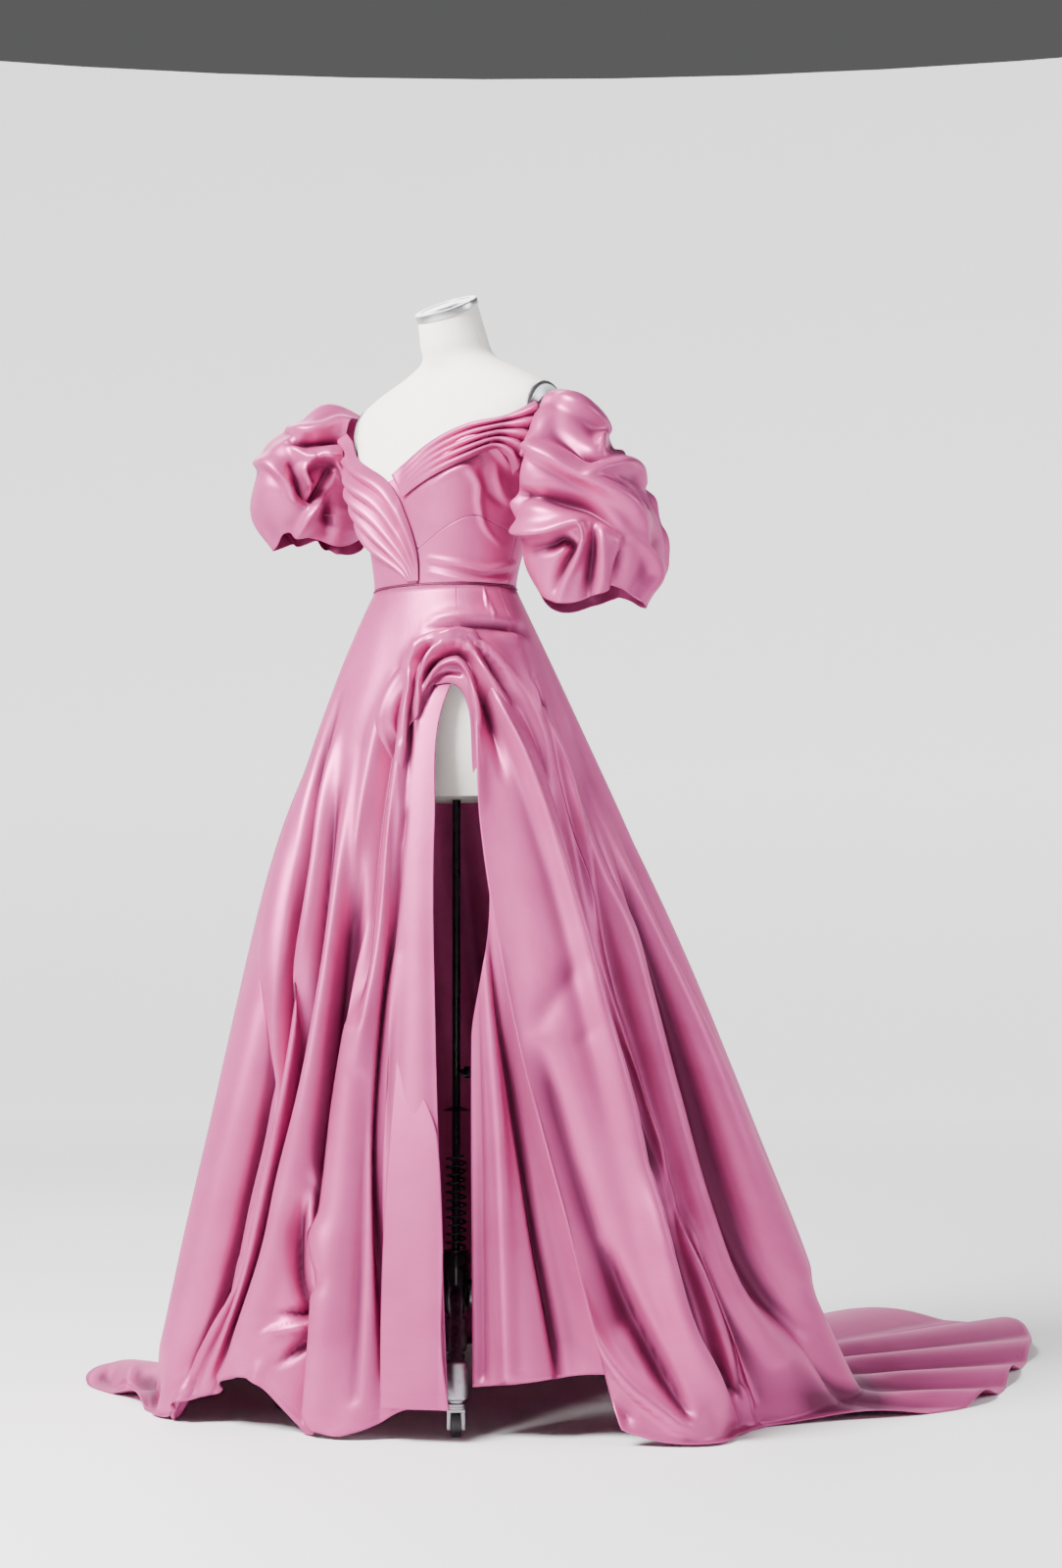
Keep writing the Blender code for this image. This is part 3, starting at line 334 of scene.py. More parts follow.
# %% The form's sections
ARM_FLAT_X = 0.180
BUST_Z = 1.445
BUST_SWELL = 0.024
BUST_ANGLE = 31.0
BUST_ANGLE_SPREAD = 24.0
BUST_HEIGHT_SPREAD = 0.062
TORSO = table(
    "height half_width half_depth centre_y squareness lean",
    (0.955, 0.150, 0.108, -0.010, 2.0, 0),
    (1.000, 0.160, 0.114, -0.010, 2.0, 0),
    (1.080, 0.160, 0.114, -0.014, 2.0, 0),
    (1.180, 0.140, 0.102, -0.022, 2.0, 0),
    (1.282, 0.119, 0.091, -0.028, 2.0, 0),
    (1.360, 0.130, 0.100, -0.022, 2.1, 0),
    (1.440, 0.148, 0.110, -0.012, 2.2, 0),
    (1.500, 0.176, 0.102, -0.002, 2.4, 0),
    (1.550, 0.194, 0.090, 0.006, 2.6, 0),
    (1.590, 0.188, 0.074, 0.010, 2.6, 0),
    (1.615, 0.150, 0.062, 0.012, 2.5, 0),
    (1.636, 0.105, 0.056, 0.010, 2.2, 3),
    (1.655, 0.066, 0.055, 0.004, 2.0, 8),
    (1.690, 0.053, 0.054, -0.010, 2.0, 18),
    (1.728, 0.049, 0.051, -0.022, 2.0, 27),
)


def torso_ring(height, angle, ease):
    """A point on the form's section at this height, moved out by ease."""
    wide = smooth(TORSO, "half_width", "height", height) + ease
    deep = smooth(TORSO, "half_depth", "height", height) + ease
    power = 2 / smooth(TORSO, "squareness", "height", height)
    turn = np.radians(angle)
    x = wide * np.sign(np.sin(turn)) * np.abs(np.sin(turn)) ** power
    y = -deep * np.sign(np.cos(turn)) * np.abs(np.cos(turn)) ** power
    flat = ARM_FLAT_X + ease
    return np.clip(x, -flat, flat), y + smooth(TORSO, "centre_y", "height", height)


def bust(angle, height):
    """How far the two soft cups swell the front."""
    side = np.abs((np.asarray(angle) + 180) % 360 - 180)
    around = np.exp(-((side - BUST_ANGLE) / BUST_ANGLE_SPREAD) ** 2)
    return BUST_SWELL * around * np.exp(-((height - BUST_Z) / BUST_HEIGHT_SPREAD) ** 2)


def body_point(angle, height, ease):
    """A point on the form or on cloth that lies this far out from it."""
    angle = np.asarray(angle, dtype=float)
    height = np.asarray(height, dtype=float) + 0 * angle
    out = ease + bust(angle, height)
    x, y = torso_ring(height, angle, out)
    return np.stack([x, y, height], axis=-1)


# %% [markdown]
# The skirt is a cone that stands on the floor and runs on as a train. Between its valleys
# the cloth rises in folds that roll over a little, as heavy satin does.

# %% The skirt's size and its folds
WALL = 0.002
WAIST_Z = 1.2812
BODICE_Z = 1.2852
WAIST_HALF_WIDTH = 0.1245
WAIST_HALF_DEPTH = 0.0965
WAIST_CENTRE_Y = -0.028
SKIRT = table(
    "angle floor_radius hem_radius hem_lift swell",
    (38, 0.330, 0.330, 0.055, 0.45),
    (66, 0.385, 0.390, 0.070, 0.35),
    (78, 0.450, 0.455, 0.020, 0.30),
    (87, 0.500, 0.510, 0.000, 0.28),
    (100, 0.480, 0.500, 0.000, 0.26),
    (112, 0.510, 0.520, 0.000, 0.25),
    (119, 0.550, 0.590, 0.000, 0.24),
    (124, 0.585, 0.690, 0.000, 0.24),
    (129, 0.610, 0.770, 0.000, 0.24),
    (140, 0.640, 0.880, 0.000, 0.25),
    (152, 0.660, 1.000, 0.000, 0.27),
    (166, 0.690, 1.250, 0.000, 0.30),
    (174, 0.700, 1.430, 0.000, 0.32),
    (184, 0.700, 1.440, 0.000, 0.34),
    (196, 0.690, 1.280, 0.000, 0.38),
    (210, 0.660, 1.050, 0.000, 0.42),
    (226, 0.620, 0.880, 0.000, 0.48),
    (243, 0.580, 0.770, 0.000, 0.56),
    (260, 0.540, 0.710, 0.000, 0.66),
    (276, 0.505, 0.710, 0.000, 0.78),
    (285, 0.490, 0.690, 0.000, 0.84),
    (296, 0.470, 0.570, 0.000, 0.90),
    (306, 0.455, 0.490, 0.000, 0.92),
    (314, 0.450, 0.460, 0.000, 0.92),
    (324, 0.450, 0.460, 0.005, 0.85),
    (334, 0.400, 0.400, 0.050, 0.80),
    (346, 0.360, 0.360, 0.075, 0.75),
    (360, 0.330, 0.335, 0.002, 0.65),
    (376, 0.325, 0.325, 0.010, 0.55),
    (388, 0.325, 0.325, 0.045, 0.50),
    (400, 0.330, 0.330, 0.055, 0.45),
)
DROP_NAMES = "waist hip thigh lap knee shin floor".split()
DROPS = np.array([0.0, 0.10, 0.16, 0.30, 0.55, 0.80, 1.0])
VALLEYS = table(
    "waist hip thigh lap knee shin floor rise start roll",
    (44, 46, 51, 53, 61.5, 71, 75.5, 0.020, 0.15, 0.3),
    (60, 63, 70, 85.5, 98.0, 101, 106, 0.004, 0.20, 0.0),
    (82, 88, 93, 99.5, 101.8, 104, 110, 0.026, 0.08, 0.6),
    (96, 101, 104, 110.5, 117.6, 121, 129, 0.028, 0.08, 0.3),
    (112, 117, 120, 126, 132, 137, 143, 0.032, 0.10, 0.4),
    (132, 137, 139, 143, 149, 153, 158, 0.034, 0.08, 0.6),
    (155, 158, 159, 162, 165, 168, 170, 0.030, 0.12, 0.6),
    (180, 180, 180, 180, 180, 180, 180, 0.030, 0.12, 0.6),
    (200, 200, 199, 198, 197, 196, 193, 0.034, 0.08, 0.6),
    (219, 219, 218, 217, 214, 211, 207, 0.032, 0.10, 0.6),
    (236, 236, 235, 234, 231, 229, 225, 0.032, 0.08, 0.6),
    (252, 252, 251, 250, 249, 247, 243, 0.030, 0.10, 0.6),
    (268, 267, 267, 266, 265, 264, 262, 0.032, 0.08, 0.6),
    (284, 284, 284, 286, 292, 296, 292, 0.045, 0.03, 0.8),
    (306, 305, 304, 311, 331, 333, 325, 0.026, 0.12, 0.7),
    (326, 326, 322, 328, 342, 344, 333, 0.030, 0.16, 0.6),
    (366, 367, 360, 357, 362, 361.5, 357, 0.030, 0.16, 0.6),
    (380, 379, 375, 374, 378, 379, 382, 0.010, 0.16, 0.3),
    (404, 404, 395, 393, 395, 398, 400, 0.0, 0.2, 0.0),
)
SIDE_SEAM_LEFT = 2
CENTRE_BACK = 7
SIDE_SEAM_RIGHT = 12
PANEL_INSET = 0.004
SWELL_FADE = 2.2
FOLD_GROWTH = 0.7
SINK = 0.4
FLOOR_BLEND = 0.030
FULL_BLEND_LENGTH = 0.05
LEAST_BLEND = 0.0005
FLOOR_TOUCH = 0.0004
LIES_FROM, LIES_TO = 0.97, 1.10
LYING_FOLD = 1.1
HEM_FLAT = 0.30
SETTLING_ROUNDS = 3


def valley_angles(drop):
    """Angles of every valley at this drop from the waist."""
    marks = np.stack([VALLEYS[name] for name in DROP_NAMES], axis=1)
    return np.stack([smooth(dict(drop=DROPS, angle=angles), "angle", "drop", drop)
                     for angles in marks])


def skirt_base(angle, length):
    """The skirt with no folds, and its outward direction in the upright plane.

    length runs from 0 at the waist to 1 at the hem, past the floor where the train lies.
    """
    contact = smooth(SKIRT, "floor_radius", "angle", angle)
    hem = np.maximum(smooth(SKIRT, "hem_radius", "angle", angle), contact)
    lift = np.maximum(smooth(SKIRT, "hem_lift", "angle", angle), 0)
    swell = smooth(SKIRT, "swell", "angle", angle)
    lying = hem - contact
    standing = np.hypot(WAIST_Z, contact - WAIST_HALF_WIDTH)
    run = length * (standing + lying) / standing
    drop = np.minimum(run, 1)
    spread = drop + swell * drop * (1 - drop) ** SWELL_FADE
    beyond = np.maximum(run - 1, 0) * standing
    turn = np.radians(angle)
    waist_x = WAIST_HALF_WIDTH * np.sin(turn)
    waist_y = WAIST_CENTRE_Y - WAIST_HALF_DEPTH * np.cos(turn)
    reach = contact * spread + beyond
    x = (1 - spread) * waist_x + reach * np.sin(turn)
    y = (1 - spread) * waist_y - reach * np.cos(turn)
    height = WAIST_Z * (1 - run) + lift * drop
    blend = FLOOR_BLEND * lying / (lying + FULL_BLEND_LENGTH) + LEAST_BLEND
    soft = blend * np.logaddexp(0, (height - WALL / 2) / blend)
    z = np.maximum(soft - FLOOR_TOUCH, 0) + WALL / 2
    return np.stack([x, y, z], axis=-1), drop, ramp(run, LIES_FROM, LIES_TO)


def valley_sink(fold, part, drop):
    """How far the cloth between folds stands in, passing smoothly from fold to fold."""
    def shared(column):
        ends = np.concatenate([column[:1], column[:-1], column[-2:-1]])
        middles = (ends[:-1] + ends[1:]) / 2
        return middles[fold] * (1 - part) + middles[fold + 1] * part
    grown = ramp(drop, shared(VALLEYS["start"]), 1) ** FOLD_GROWTH
    return SINK * shared(VALLEYS["rise"]) * grown


def skirt_point(valley, length):
    """A point on the folded skirt. valley counts folds: 2.5 is the middle of fold 2."""
    valley = np.asarray(valley, dtype=float)
    length = np.asarray(length, dtype=float)
    fold = np.clip(np.floor(valley), 0, len(VALLEYS["rise"]) - 2).astype(int)
    part = valley - fold
    start = VALLEYS["start"][fold]
    roll = VALLEYS["roll"][fold]
    rise = VALLEYS["rise"][fold]
    across = part - roll * np.sin(2 * np.pi * part) / (2 * np.pi)
    drop = length
    for _ in range(SETTLING_ROUNDS):
        lines = valley_angles(drop)
        low = np.take_along_axis(lines, fold[None], 0)[0]
        high = np.take_along_axis(lines, fold[None] + 1, 0)[0]
        grown = ramp(drop, start, 1) ** FOLD_GROWTH
        angle = low + (high - low) * (part + (across - part) * grown)
        base, drop, lying = skirt_base(angle, length)
    hump = (1 - np.cos(2 * np.pi * part)) / 2
    flat_hump = np.maximum(hump - HEM_FLAT, 0) ** 1.5
    shape = hump * (1 - lying) + flat_hump * LYING_FOLD * lying
    height = rise * grown * shape
    turn = np.radians(angle)
    outward = (height - valley_sink(fold, part, drop)) * (1 - lying)
    upward = height * lying
    move = np.stack([outward * np.sin(turn), -outward * np.cos(turn), upward], axis=-1)
    return base + move


# %% [markdown]
# Folds and creases are drawn as a stylist would draw them on a picture of the gown: as lines
# on the plane through the pole, seen from one side. Each point of a line says how far right
# and how high it is, how wide the fold is there and how far it stands out of the cloth. A
# negative rise is a trough. One side may be made steeper, as where cloth laps over itself.

# %% Helper that lays drawn folds on cloth
TINY = 1e-12
LINE_STEPS = 40
REACH_IN_WIDTHS = 3
FACING_BLEND = 0.15


def in_metres(*folds):
    """Folds as (steepness, points) in metres. A row here is a steepness and then points of
    (right, height, width, rise) in tenths of a millimetre."""
    return tuple((steep, tuple(tuple(number / 10000 for number in point) for point in points))
                 for steep, *points in folds)


def seen(points, angle):
    """Where points show on the plane through the pole, seen from this angle: right and up."""
    turn = math.radians(angle)
    x, y, z = points[..., 0], points[..., 1], points[..., 2]
    right = x * math.cos(turn) + y * math.sin(turn)
    away = y * math.cos(turn) - x * math.sin(turn)
    scale = CAMERA_DISTANCE / (CAMERA_DISTANCE + away)
    return right * scale, CAMERA_HEIGHT + (z - CAMERA_HEIGHT) * scale


def drawn(line):
    """A drawn line's points, evenly read as a smooth curve."""
    rows = np.array(line, dtype=float)
    lengths = np.hypot(np.diff(rows[:, 0]), np.diff(rows[:, 1]))
    along = np.concatenate([[0], np.cumsum(lengths)])
    at = np.linspace(0, along[-1], LINE_STEPS)
    return np.stack([smooth(dict(along=along, value=values), "value", "along", at)
                     for values in rows.T], axis=-1)


def laid(points, normals, angle, lines):
    """How far a set of drawn folds moves each point out."""
    right, height = seen(points, angle)
    turn = math.radians(angle)
    facing = normals[..., 0] * math.sin(turn) - normals[..., 1] * math.cos(turn)
    facing = ramp(facing, -FACING_BLEND, FACING_BLEND)
    total = np.zeros_like(right)
    for steep, line in lines:
        track = drawn(line)
        reach = REACH_IN_WIDTHS * track[:, 2].max()
        inside = (right > track[:, 0].min() - reach) & (right < track[:, 0].max() + reach)
        inside &= (height > track[:, 1].min() - reach) & (height < track[:, 1].max() + reach)
        inside &= facing > 0
        if not inside.any():
            continue
        x, z = right[inside][:, None], height[inside][:, None]
        low, high = track[None, :-1], track[None, 1:]
        run_x, run_z = high[..., 0] - low[..., 0], high[..., 1] - low[..., 1]
        size = run_x ** 2 + run_z ** 2 + TINY
        part = np.clip(((x - low[..., 0]) * run_x + (z - low[..., 1]) * run_z) / size, 0, 1)
        off_x = x - low[..., 0] - part * run_x
        off_z = z - low[..., 1] - part * run_z
        far = off_x ** 2 + off_z ** 2
        nearest = far.argmin(axis=1)
        pick = np.arange(len(nearest))
        part = part[pick, nearest]
        wide = track[nearest, 2] * (1 - part) + track[nearest + 1, 2] * part
        rise = track[nearest, 3] * (1 - part) + track[nearest + 1, 3] * part
        side = run_x[0, nearest] * off_z[pick, nearest] - run_z[0, nearest] * off_x[pick, nearest]
        wide = np.where(side > 0, wide, wide * steep)
        total[inside] += rise * np.exp(-far[pick, nearest] / wide ** 2)
    return total * facing


# %% [markdown]
# A cloth shell is a grid of points on a surface, moved out by its folds, with a thin wall.
# The grid's own lengths become its UV map in metres, so the threads keep one size.

# %% Helper that makes a cloth shell
SATIN_THICKNESS = 0.0011
LEAST_HEIGHT = 0.0014
BLUR_REACH = 9
FOLD_SHADE_RANGE = 0.016
FAR_FROM_HEM = 10


def grid_normals(points, closed):
    """Unit normals of a grid of points."""
    if closed:
        around = np.roll(points, -1, axis=0) - np.roll(points, 1, axis=0)
    else:
        around = np.gradient(points, axis=0)
    along = np.gradient(points, axis=1)
    normal = np.cross(around, along)
    return normal / np.maximum(np.linalg.norm(normal, axis=-1, keepdims=True), TINY)


def blurred(points, closed):
    """A grid of points averaged over its neighbours, which smooths its folds away."""
    window = 2 * BLUR_REACH + 1
    for way in (0, 1):
        margin = [(0, 0)] * 3
        margin[way] = (BLUR_REACH + 1, BLUR_REACH)
        wide = np.pad(points, margin, mode="wrap" if closed and way == 0 else "edge")
        sums = np.cumsum(wide, axis=way)
        if way == 0:
            points = (sums[window:] - sums[:-window]) / window
        else:
            points = (sums[:, window:] - sums[:, :-window]) / window
    return points


def from_ends(count):
    """How many steps each place in a row is from the row's nearer end."""
    return np.minimum(np.arange(count), np.arange(count)[::-1])


def edge_fade(rows, columns, closed):
    """From 0 at a grid's free edges to 1 further in."""
    here = np.ones(rows) * BLUR_REACH if closed else from_ends(rows)
    steps_in = np.minimum(here[:, None], from_ends(columns)[None, :])
    return np.clip(steps_in / BLUR_REACH, 0, 1)


def faces_inward(points, closed):
    """True if a grid's normals point at the pole, or at the middle of a closed tube."""
    centre = points.mean(axis=0, keepdims=True) if closed else points * (0, 0, 1)
    return (grid_normals(points, closed) * (points - centre)).sum() < 0


def even(count):
    """Evenly spaced shares from 0 to 1."""
    return np.linspace(0, 1, count)


def cloth_shell(name, surface, us, vs, folds=(), closed=False, hemmed=False):
    """A thin closed shell over surface(u, v), with drawn folds laid on it."""
    u, v = np.meshgrid(us, vs, indexing="ij")
    middle = surface(u, v)
    if faces_inward(middle, closed):
        middle = middle[::-1]
    normal = grid_normals(middle, closed)
    for angle, lines in folds:
        move = laid(middle, normal, angle, lines)
        middle = middle + normal * move[..., None]
    middle[..., 2] = np.maximum(middle[..., 2], LEAST_HEIGHT)
    normal = grid_normals(middle, closed)
    outer = middle + normal * SATIN_THICKNESS / 2
    inner = middle - normal * SATIN_THICKNESS / 2
    points = np.concatenate([outer.reshape(-1, 3), inner.reshape(-1, 3)])
    points[:, 2] = np.maximum(points[:, 2], 0)
    points = points + np.array(axis)
    rows, columns = u.shape
    count = rows * columns
    index = np.arange(count).reshape(rows, columns)
    if closed:
        index = np.vstack([index, index[:1]])
    a, b = index[:-1, :-1], index[1:, :-1]
    c, d = index[1:, 1:], index[:-1, 1:]
    quads = np.stack([a, b, c, d], axis=-1).reshape(-1, 4)
    quads = np.concatenate([quads, (quads + count)[:, ::-1], rim_faces(index, count, closed)])
    mesh = bpy.data.meshes.new(name)
    mesh.from_pydata(points.tolist(), [], quads.tolist())
    mesh.update()
    thing = bpy.data.objects.new(name, mesh)
    bpy.context.scene.collection.objects.link(thing)
    mesh.polygons.foreach_set("use_smooth", np.ones(len(mesh.polygons), dtype=bool))
    set_cut_map(mesh, middle)
    set_hem(mesh, middle, hemmed)
    # The fold height, kept for the satin's painted shade, which darkens the hollows of folds.
    height = ((middle - blurred(middle, closed)) * normal).sum(axis=-1)
    height = height * edge_fade(rows, columns, closed)
    set_layer(mesh, "fold_height", np.clip(0.5 + height / FOLD_SHADE_RANGE, 0, 1))
    return thing


def rim_faces(index, count, closed):
    """Faces that join the two sides of the shell at its free edges."""
    edges = [index[:, 0], index[::-1, -1]]
    if not closed:
        edges += [index[-1, :], index[0, ::-1]]
    faces = []
    for edge in edges:
        here, there = edge[:-1], edge[1:]
        faces.append(np.stack([there, here, here + count, there + count], axis=-1))
    return np.concatenate(faces)


def set_cut_map(mesh, grid):
    """A UV map in metres, measured along the cloth."""
    across = np.linalg.norm(np.diff(grid, axis=0), axis=-1).mean(axis=1)
    down = np.linalg.norm(np.diff(grid, axis=1), axis=-1).mean(axis=0)
    u = np.concatenate([[0], np.cumsum(across)])
    v = np.concatenate([[0], np.cumsum(down)])
    pairs = np.stack(np.meshgrid(u, v, indexing="ij"), axis=-1).reshape(-1, 2)
    pairs = np.concatenate([pairs, pairs])
    corners = np.zeros(len(mesh.loops), dtype=int)
    mesh.loops.foreach_get("vertex_index", corners)
    layer = mesh.uv_layers.new(name="cut")
    layer.data.foreach_set("uv", pairs[corners].ravel())


def set_layer(mesh, name, values):
    """Store one number for each point of the grid, on both sides of the shell."""
    layer = mesh.attributes.new(name, "FLOAT", "POINT")
    layer.data.foreach_set("value", np.tile(values.ravel(), 2))


def set_hem(mesh, grid, hemmed):
    """How far each point is from the hem, in metres, or far off if there is none."""
    down = np.linalg.norm(np.diff(grid, axis=1), axis=-1).mean(axis=0)
    to_hem = down.sum() - np.concatenate([[0], np.cumsum(down)])
    if not hemmed:
        to_hem = to_hem + FAR_FROM_HEM
    set_layer(mesh, "hem_distance", np.broadcast_to(to_hem, grid.shape[:2]))


def dress(thing, node):
    """Give a shell its finish, hide the part that it stands for and hang it on the stand."""
    thing.data.materials.append(SATIN)
    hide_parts(node)
    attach(thing, "stand")


# %% [markdown]
# The skirt's four panels hang from the waist seam. Each is cut as a flared gore, and the back
# ones run on into the train.

# %% Lay the skirt panels


def fold_marks(first, last, per_fold):
    """Even steps through the folds of one panel."""
    return np.linspace(first + PANEL_INSET, last - PANEL_INSET, (last - first) * per_fold + 1)


SKIRT_ROWS = 161
CLOSER_AT_HEM = 0.94
CAMERA_SIDE, FAR_SIDE = 42, 222
FAR_WIDTH_SHARE = 1.15
SLIT_FOLDS = in_metres(
    (0.35, (-883, 8252, 120, 0), (-852, 10110, 120, 100), (-759, 11271, 120, 140),
          (-635, 11860, 120, 180), (-434, 12030, 120, 200), (-186, 12092, 120, 200),
          (124, 12061, 120, 200), (403, 11922, 130, 180), (697, 11658, 130, 130),
          (945, 11364, 120, 60), (1223, 11008, 120, 0)),
    (1.0, (-790, 9800, 60, 0), (-697, 11194, 70, -100), (-573, 11751, 70, -120),
          (-403, 12030, 60, -90), (-139, 12123, 50, -60), (108, 12045, 60, -80),
          (356, 11813, 80, -120), (604, 11473, 100, -120), (836, 11116, 120, -40)),
    (0.8, (-681, 10420, 60, 0), (-635, 11116, 60, 60), (-573, 11581, 70, 90),
          (-403, 11860, 70, 100), (-232, 12015, 70, 100), (-15, 12076, 70, 100),
          (170, 11999, 80, 120), (341, 11720, 90, 140), (542, 11333, 120, 160),
          (697, 11008, 140, 180), (929, 10544, 160, 160), (1223, 9769, 180, 120),
          (1548, 8778, 200, 60), (1920, 7633, 220, 0)),
    (1.0, (62, 11906, 60, -40), (201, 11782, 70, -140), (325, 11426, 80, -180),
          (449, 11070, 90, -180), (573, 10652, 100, -140), (681, 10187, 100, -60),
          (774, 9800, 100, 0)),
    (1.0, (-619, 10729, 50, 0), (-542, 11349, 60, -80), (-387, 11674, 60, -120),
          (-170, 11860, 50, -120), (15, 11891, 50, -100), (155, 11782, 50, -40)),
    (0.7, (-650, 10652, 60, 0), (-557, 11256, 60, 70), (-387, 11565, 60, 90),
          (-186, 11720, 60, 90), (15, 11751, 60, 90), (170, 11612, 60, 100),
          (263, 11333, 70, 120), (310, 10977, 70, 120), (325, 10559, 80, 100),
          (341, 10017, 100, 60), (372, 9336, 120, 0)),
    (1.0, (-495, 11116, 40, -40), (-341, 11426, 40, -60), (-155, 11550, 40, -60),
          (31, 11550, 40, -40)),
    (1.0, (-650, 11968, 60, 0), (-434, 12185, 60, -60), (-186, 12278, 60, -120),
          (139, 12324, 60, -140), (526, 12309, 60, -130), (945, 12247, 60, -90),
          (1161, 12123, 60, 0)),
    (0.7, (960, 12371, 100, 40), (526, 12448, 130, 100), (139, 12464, 140, 120),
          (-217, 12417, 140, 100), (-495, 12278, 120, 30)),
    (0.6, (573, 12200, 80, 0), (774, 12138, 70, 40), (1022, 12107, 70, 40), (1146, 12045, 70, 0)),
    (1.0, (-681, 11860, 70, -60), (-898, 11116, 90, -140), (-1068, 10466, 100, -180),
          (-1177, 9800, 110, -180), (-1285, 9026, 120, -180), (-1378, 7834, 120, -160),
          (-1471, 6812, 120, -140), (-1548, 6084, 120, -60)),
    (1.0, (-991, 11504, 100, 20), (-1239, 10729, 120, 80), (-1394, 9800, 130, 100),
          (-1517, 8716, 130, 100), (-1641, 7633, 130, 40)),
    (0.7, (-883, 10420, 80, 40), (-1022, 9336, 90, 120), (-1161, 7834, 100, 140),
          (-1301, 6549, 110, 140), (-1425, 5310, 120, 40)),
    (0.7, (-821, 9336, 50, -40), (-975, 7834, 60, -100), (-1161, 6224, 60, -160),
          (-1254, 4768, 70, -200), (-1208, 2399, 80, -200), (-1115, 525, 90, -140)),
    (1.0, (-929, 7013, 80, 20), (-1037, 5775, 90, 80), (-1068, 4226, 100, 100),
          (-1022, 2213, 100, 100), (-929, 525, 100, 60)),
)
LEFT_FOLDS = in_metres(
    (0.6, (-1765, 11488, 80, 0), (-2168, 10203, 100, -160), (-2369, 8515, 120, -260),
          (-2617, 6642, 130, -340), (-2865, 4938, 140, -390), (-3221, 3251, 150, -420),
          (-3716, 1362, 150, -340), (-4072, 448, 140, -130)),
    (1.0, (-2385, 9955, 240, 0), (-2694, 8252, 280, 130), (-3035, 6239, 300, 180),
          (-3406, 4536, 320, 210), (-3871, 2678, 320, 210), (-4335, 975, 280, 130)),
    (1.0, (-1874, 10729, 80, 0), (-2028, 9785, 90, 130), (-2183, 8515, 90, 180),
          (-2431, 6642, 100, 230), (-2663, 5217, 100, 260), (-3004, 3669, 120, 260),
          (-3345, 2399, 130, 230), (-3701, 1284, 130, 160), (-3995, 448, 120, 80)),
    (0.7, (-1874, 9785, 80, 0), (-2090, 7834, 100, -180), (-2292, 6224, 110, -230),
          (-2508, 4768, 120, -290), (-2803, 3421, 130, -360), (-3050, 2399, 140, -390),
          (-3437, 1284, 140, -310), (-3732, 510, 120, -100)),
    (0.8, (-1548, 10420, 140, 0), (-1812, 8515, 160, 160), (-2059, 6642, 180, 230),
          (-2292, 5000, 190, 290), (-2508, 3916, 180, 290), (-2725, 2833, 180, 290),
          (-3159, 1594, 180, 290), (-3623, 510, 180, 180)),
    (1.0, (-1533, 8871, 100, 0), (-1672, 7478, 130, -180), (-1781, 6084, 150, -290),
          (-1905, 4845, 150, -340), (-2044, 3916, 130, -310), (-2044, 2987, 120, -260),
          (-2013, 1904, 120, -160)),
    (1.0, (-2292, 3793, 60, 0), (-2075, 3421, 70, 180), (-1905, 2910, 80, 180),
          (-1858, 2213, 80, 50)),
    (1.0, (-2369, 3375, 70, 0), (-2477, 2678, 90, -230), (-2431, 1981, 100, -260),
          (-2261, 1563, 100, -180)),
    (1.0, (-2245, 3529, 50, 0), (-2261, 2833, 60, 160), (-2214, 2136, 70, 180),
          (-2121, 1516, 70, 80)),
    (0.7, (-3159, 1036, 90, 0), (-2803, 1191, 80, 130), (-2446, 1284, 70, 180),
          (-2137, 1362, 60, 100)),
    (1.0, (-2725, 1532, 70, -50), (-2415, 1501, 60, -180), (-2137, 1455, 50, -130)),
    (1.0, (-2787, 742, 100, -50), (-2477, 944, 100, -160), (-2137, 1238, 70, -130)),
    (0.45, (-1394, 7633, 90, 0), (-1486, 6549, 110, 180), (-1595, 5372, 130, 290),
          (-1719, 4087, 140, 340), (-1843, 2817, 160, 360), (-1951, 1377, 180, 360),
          (-2168, -109, 200, 260)),
    (1.0, (-1363, 5155, 80, 0), (-1455, 3607, 100, -80), (-1517, 2058, 120, -100),
          (-1610, 200, 120, -50)),
)
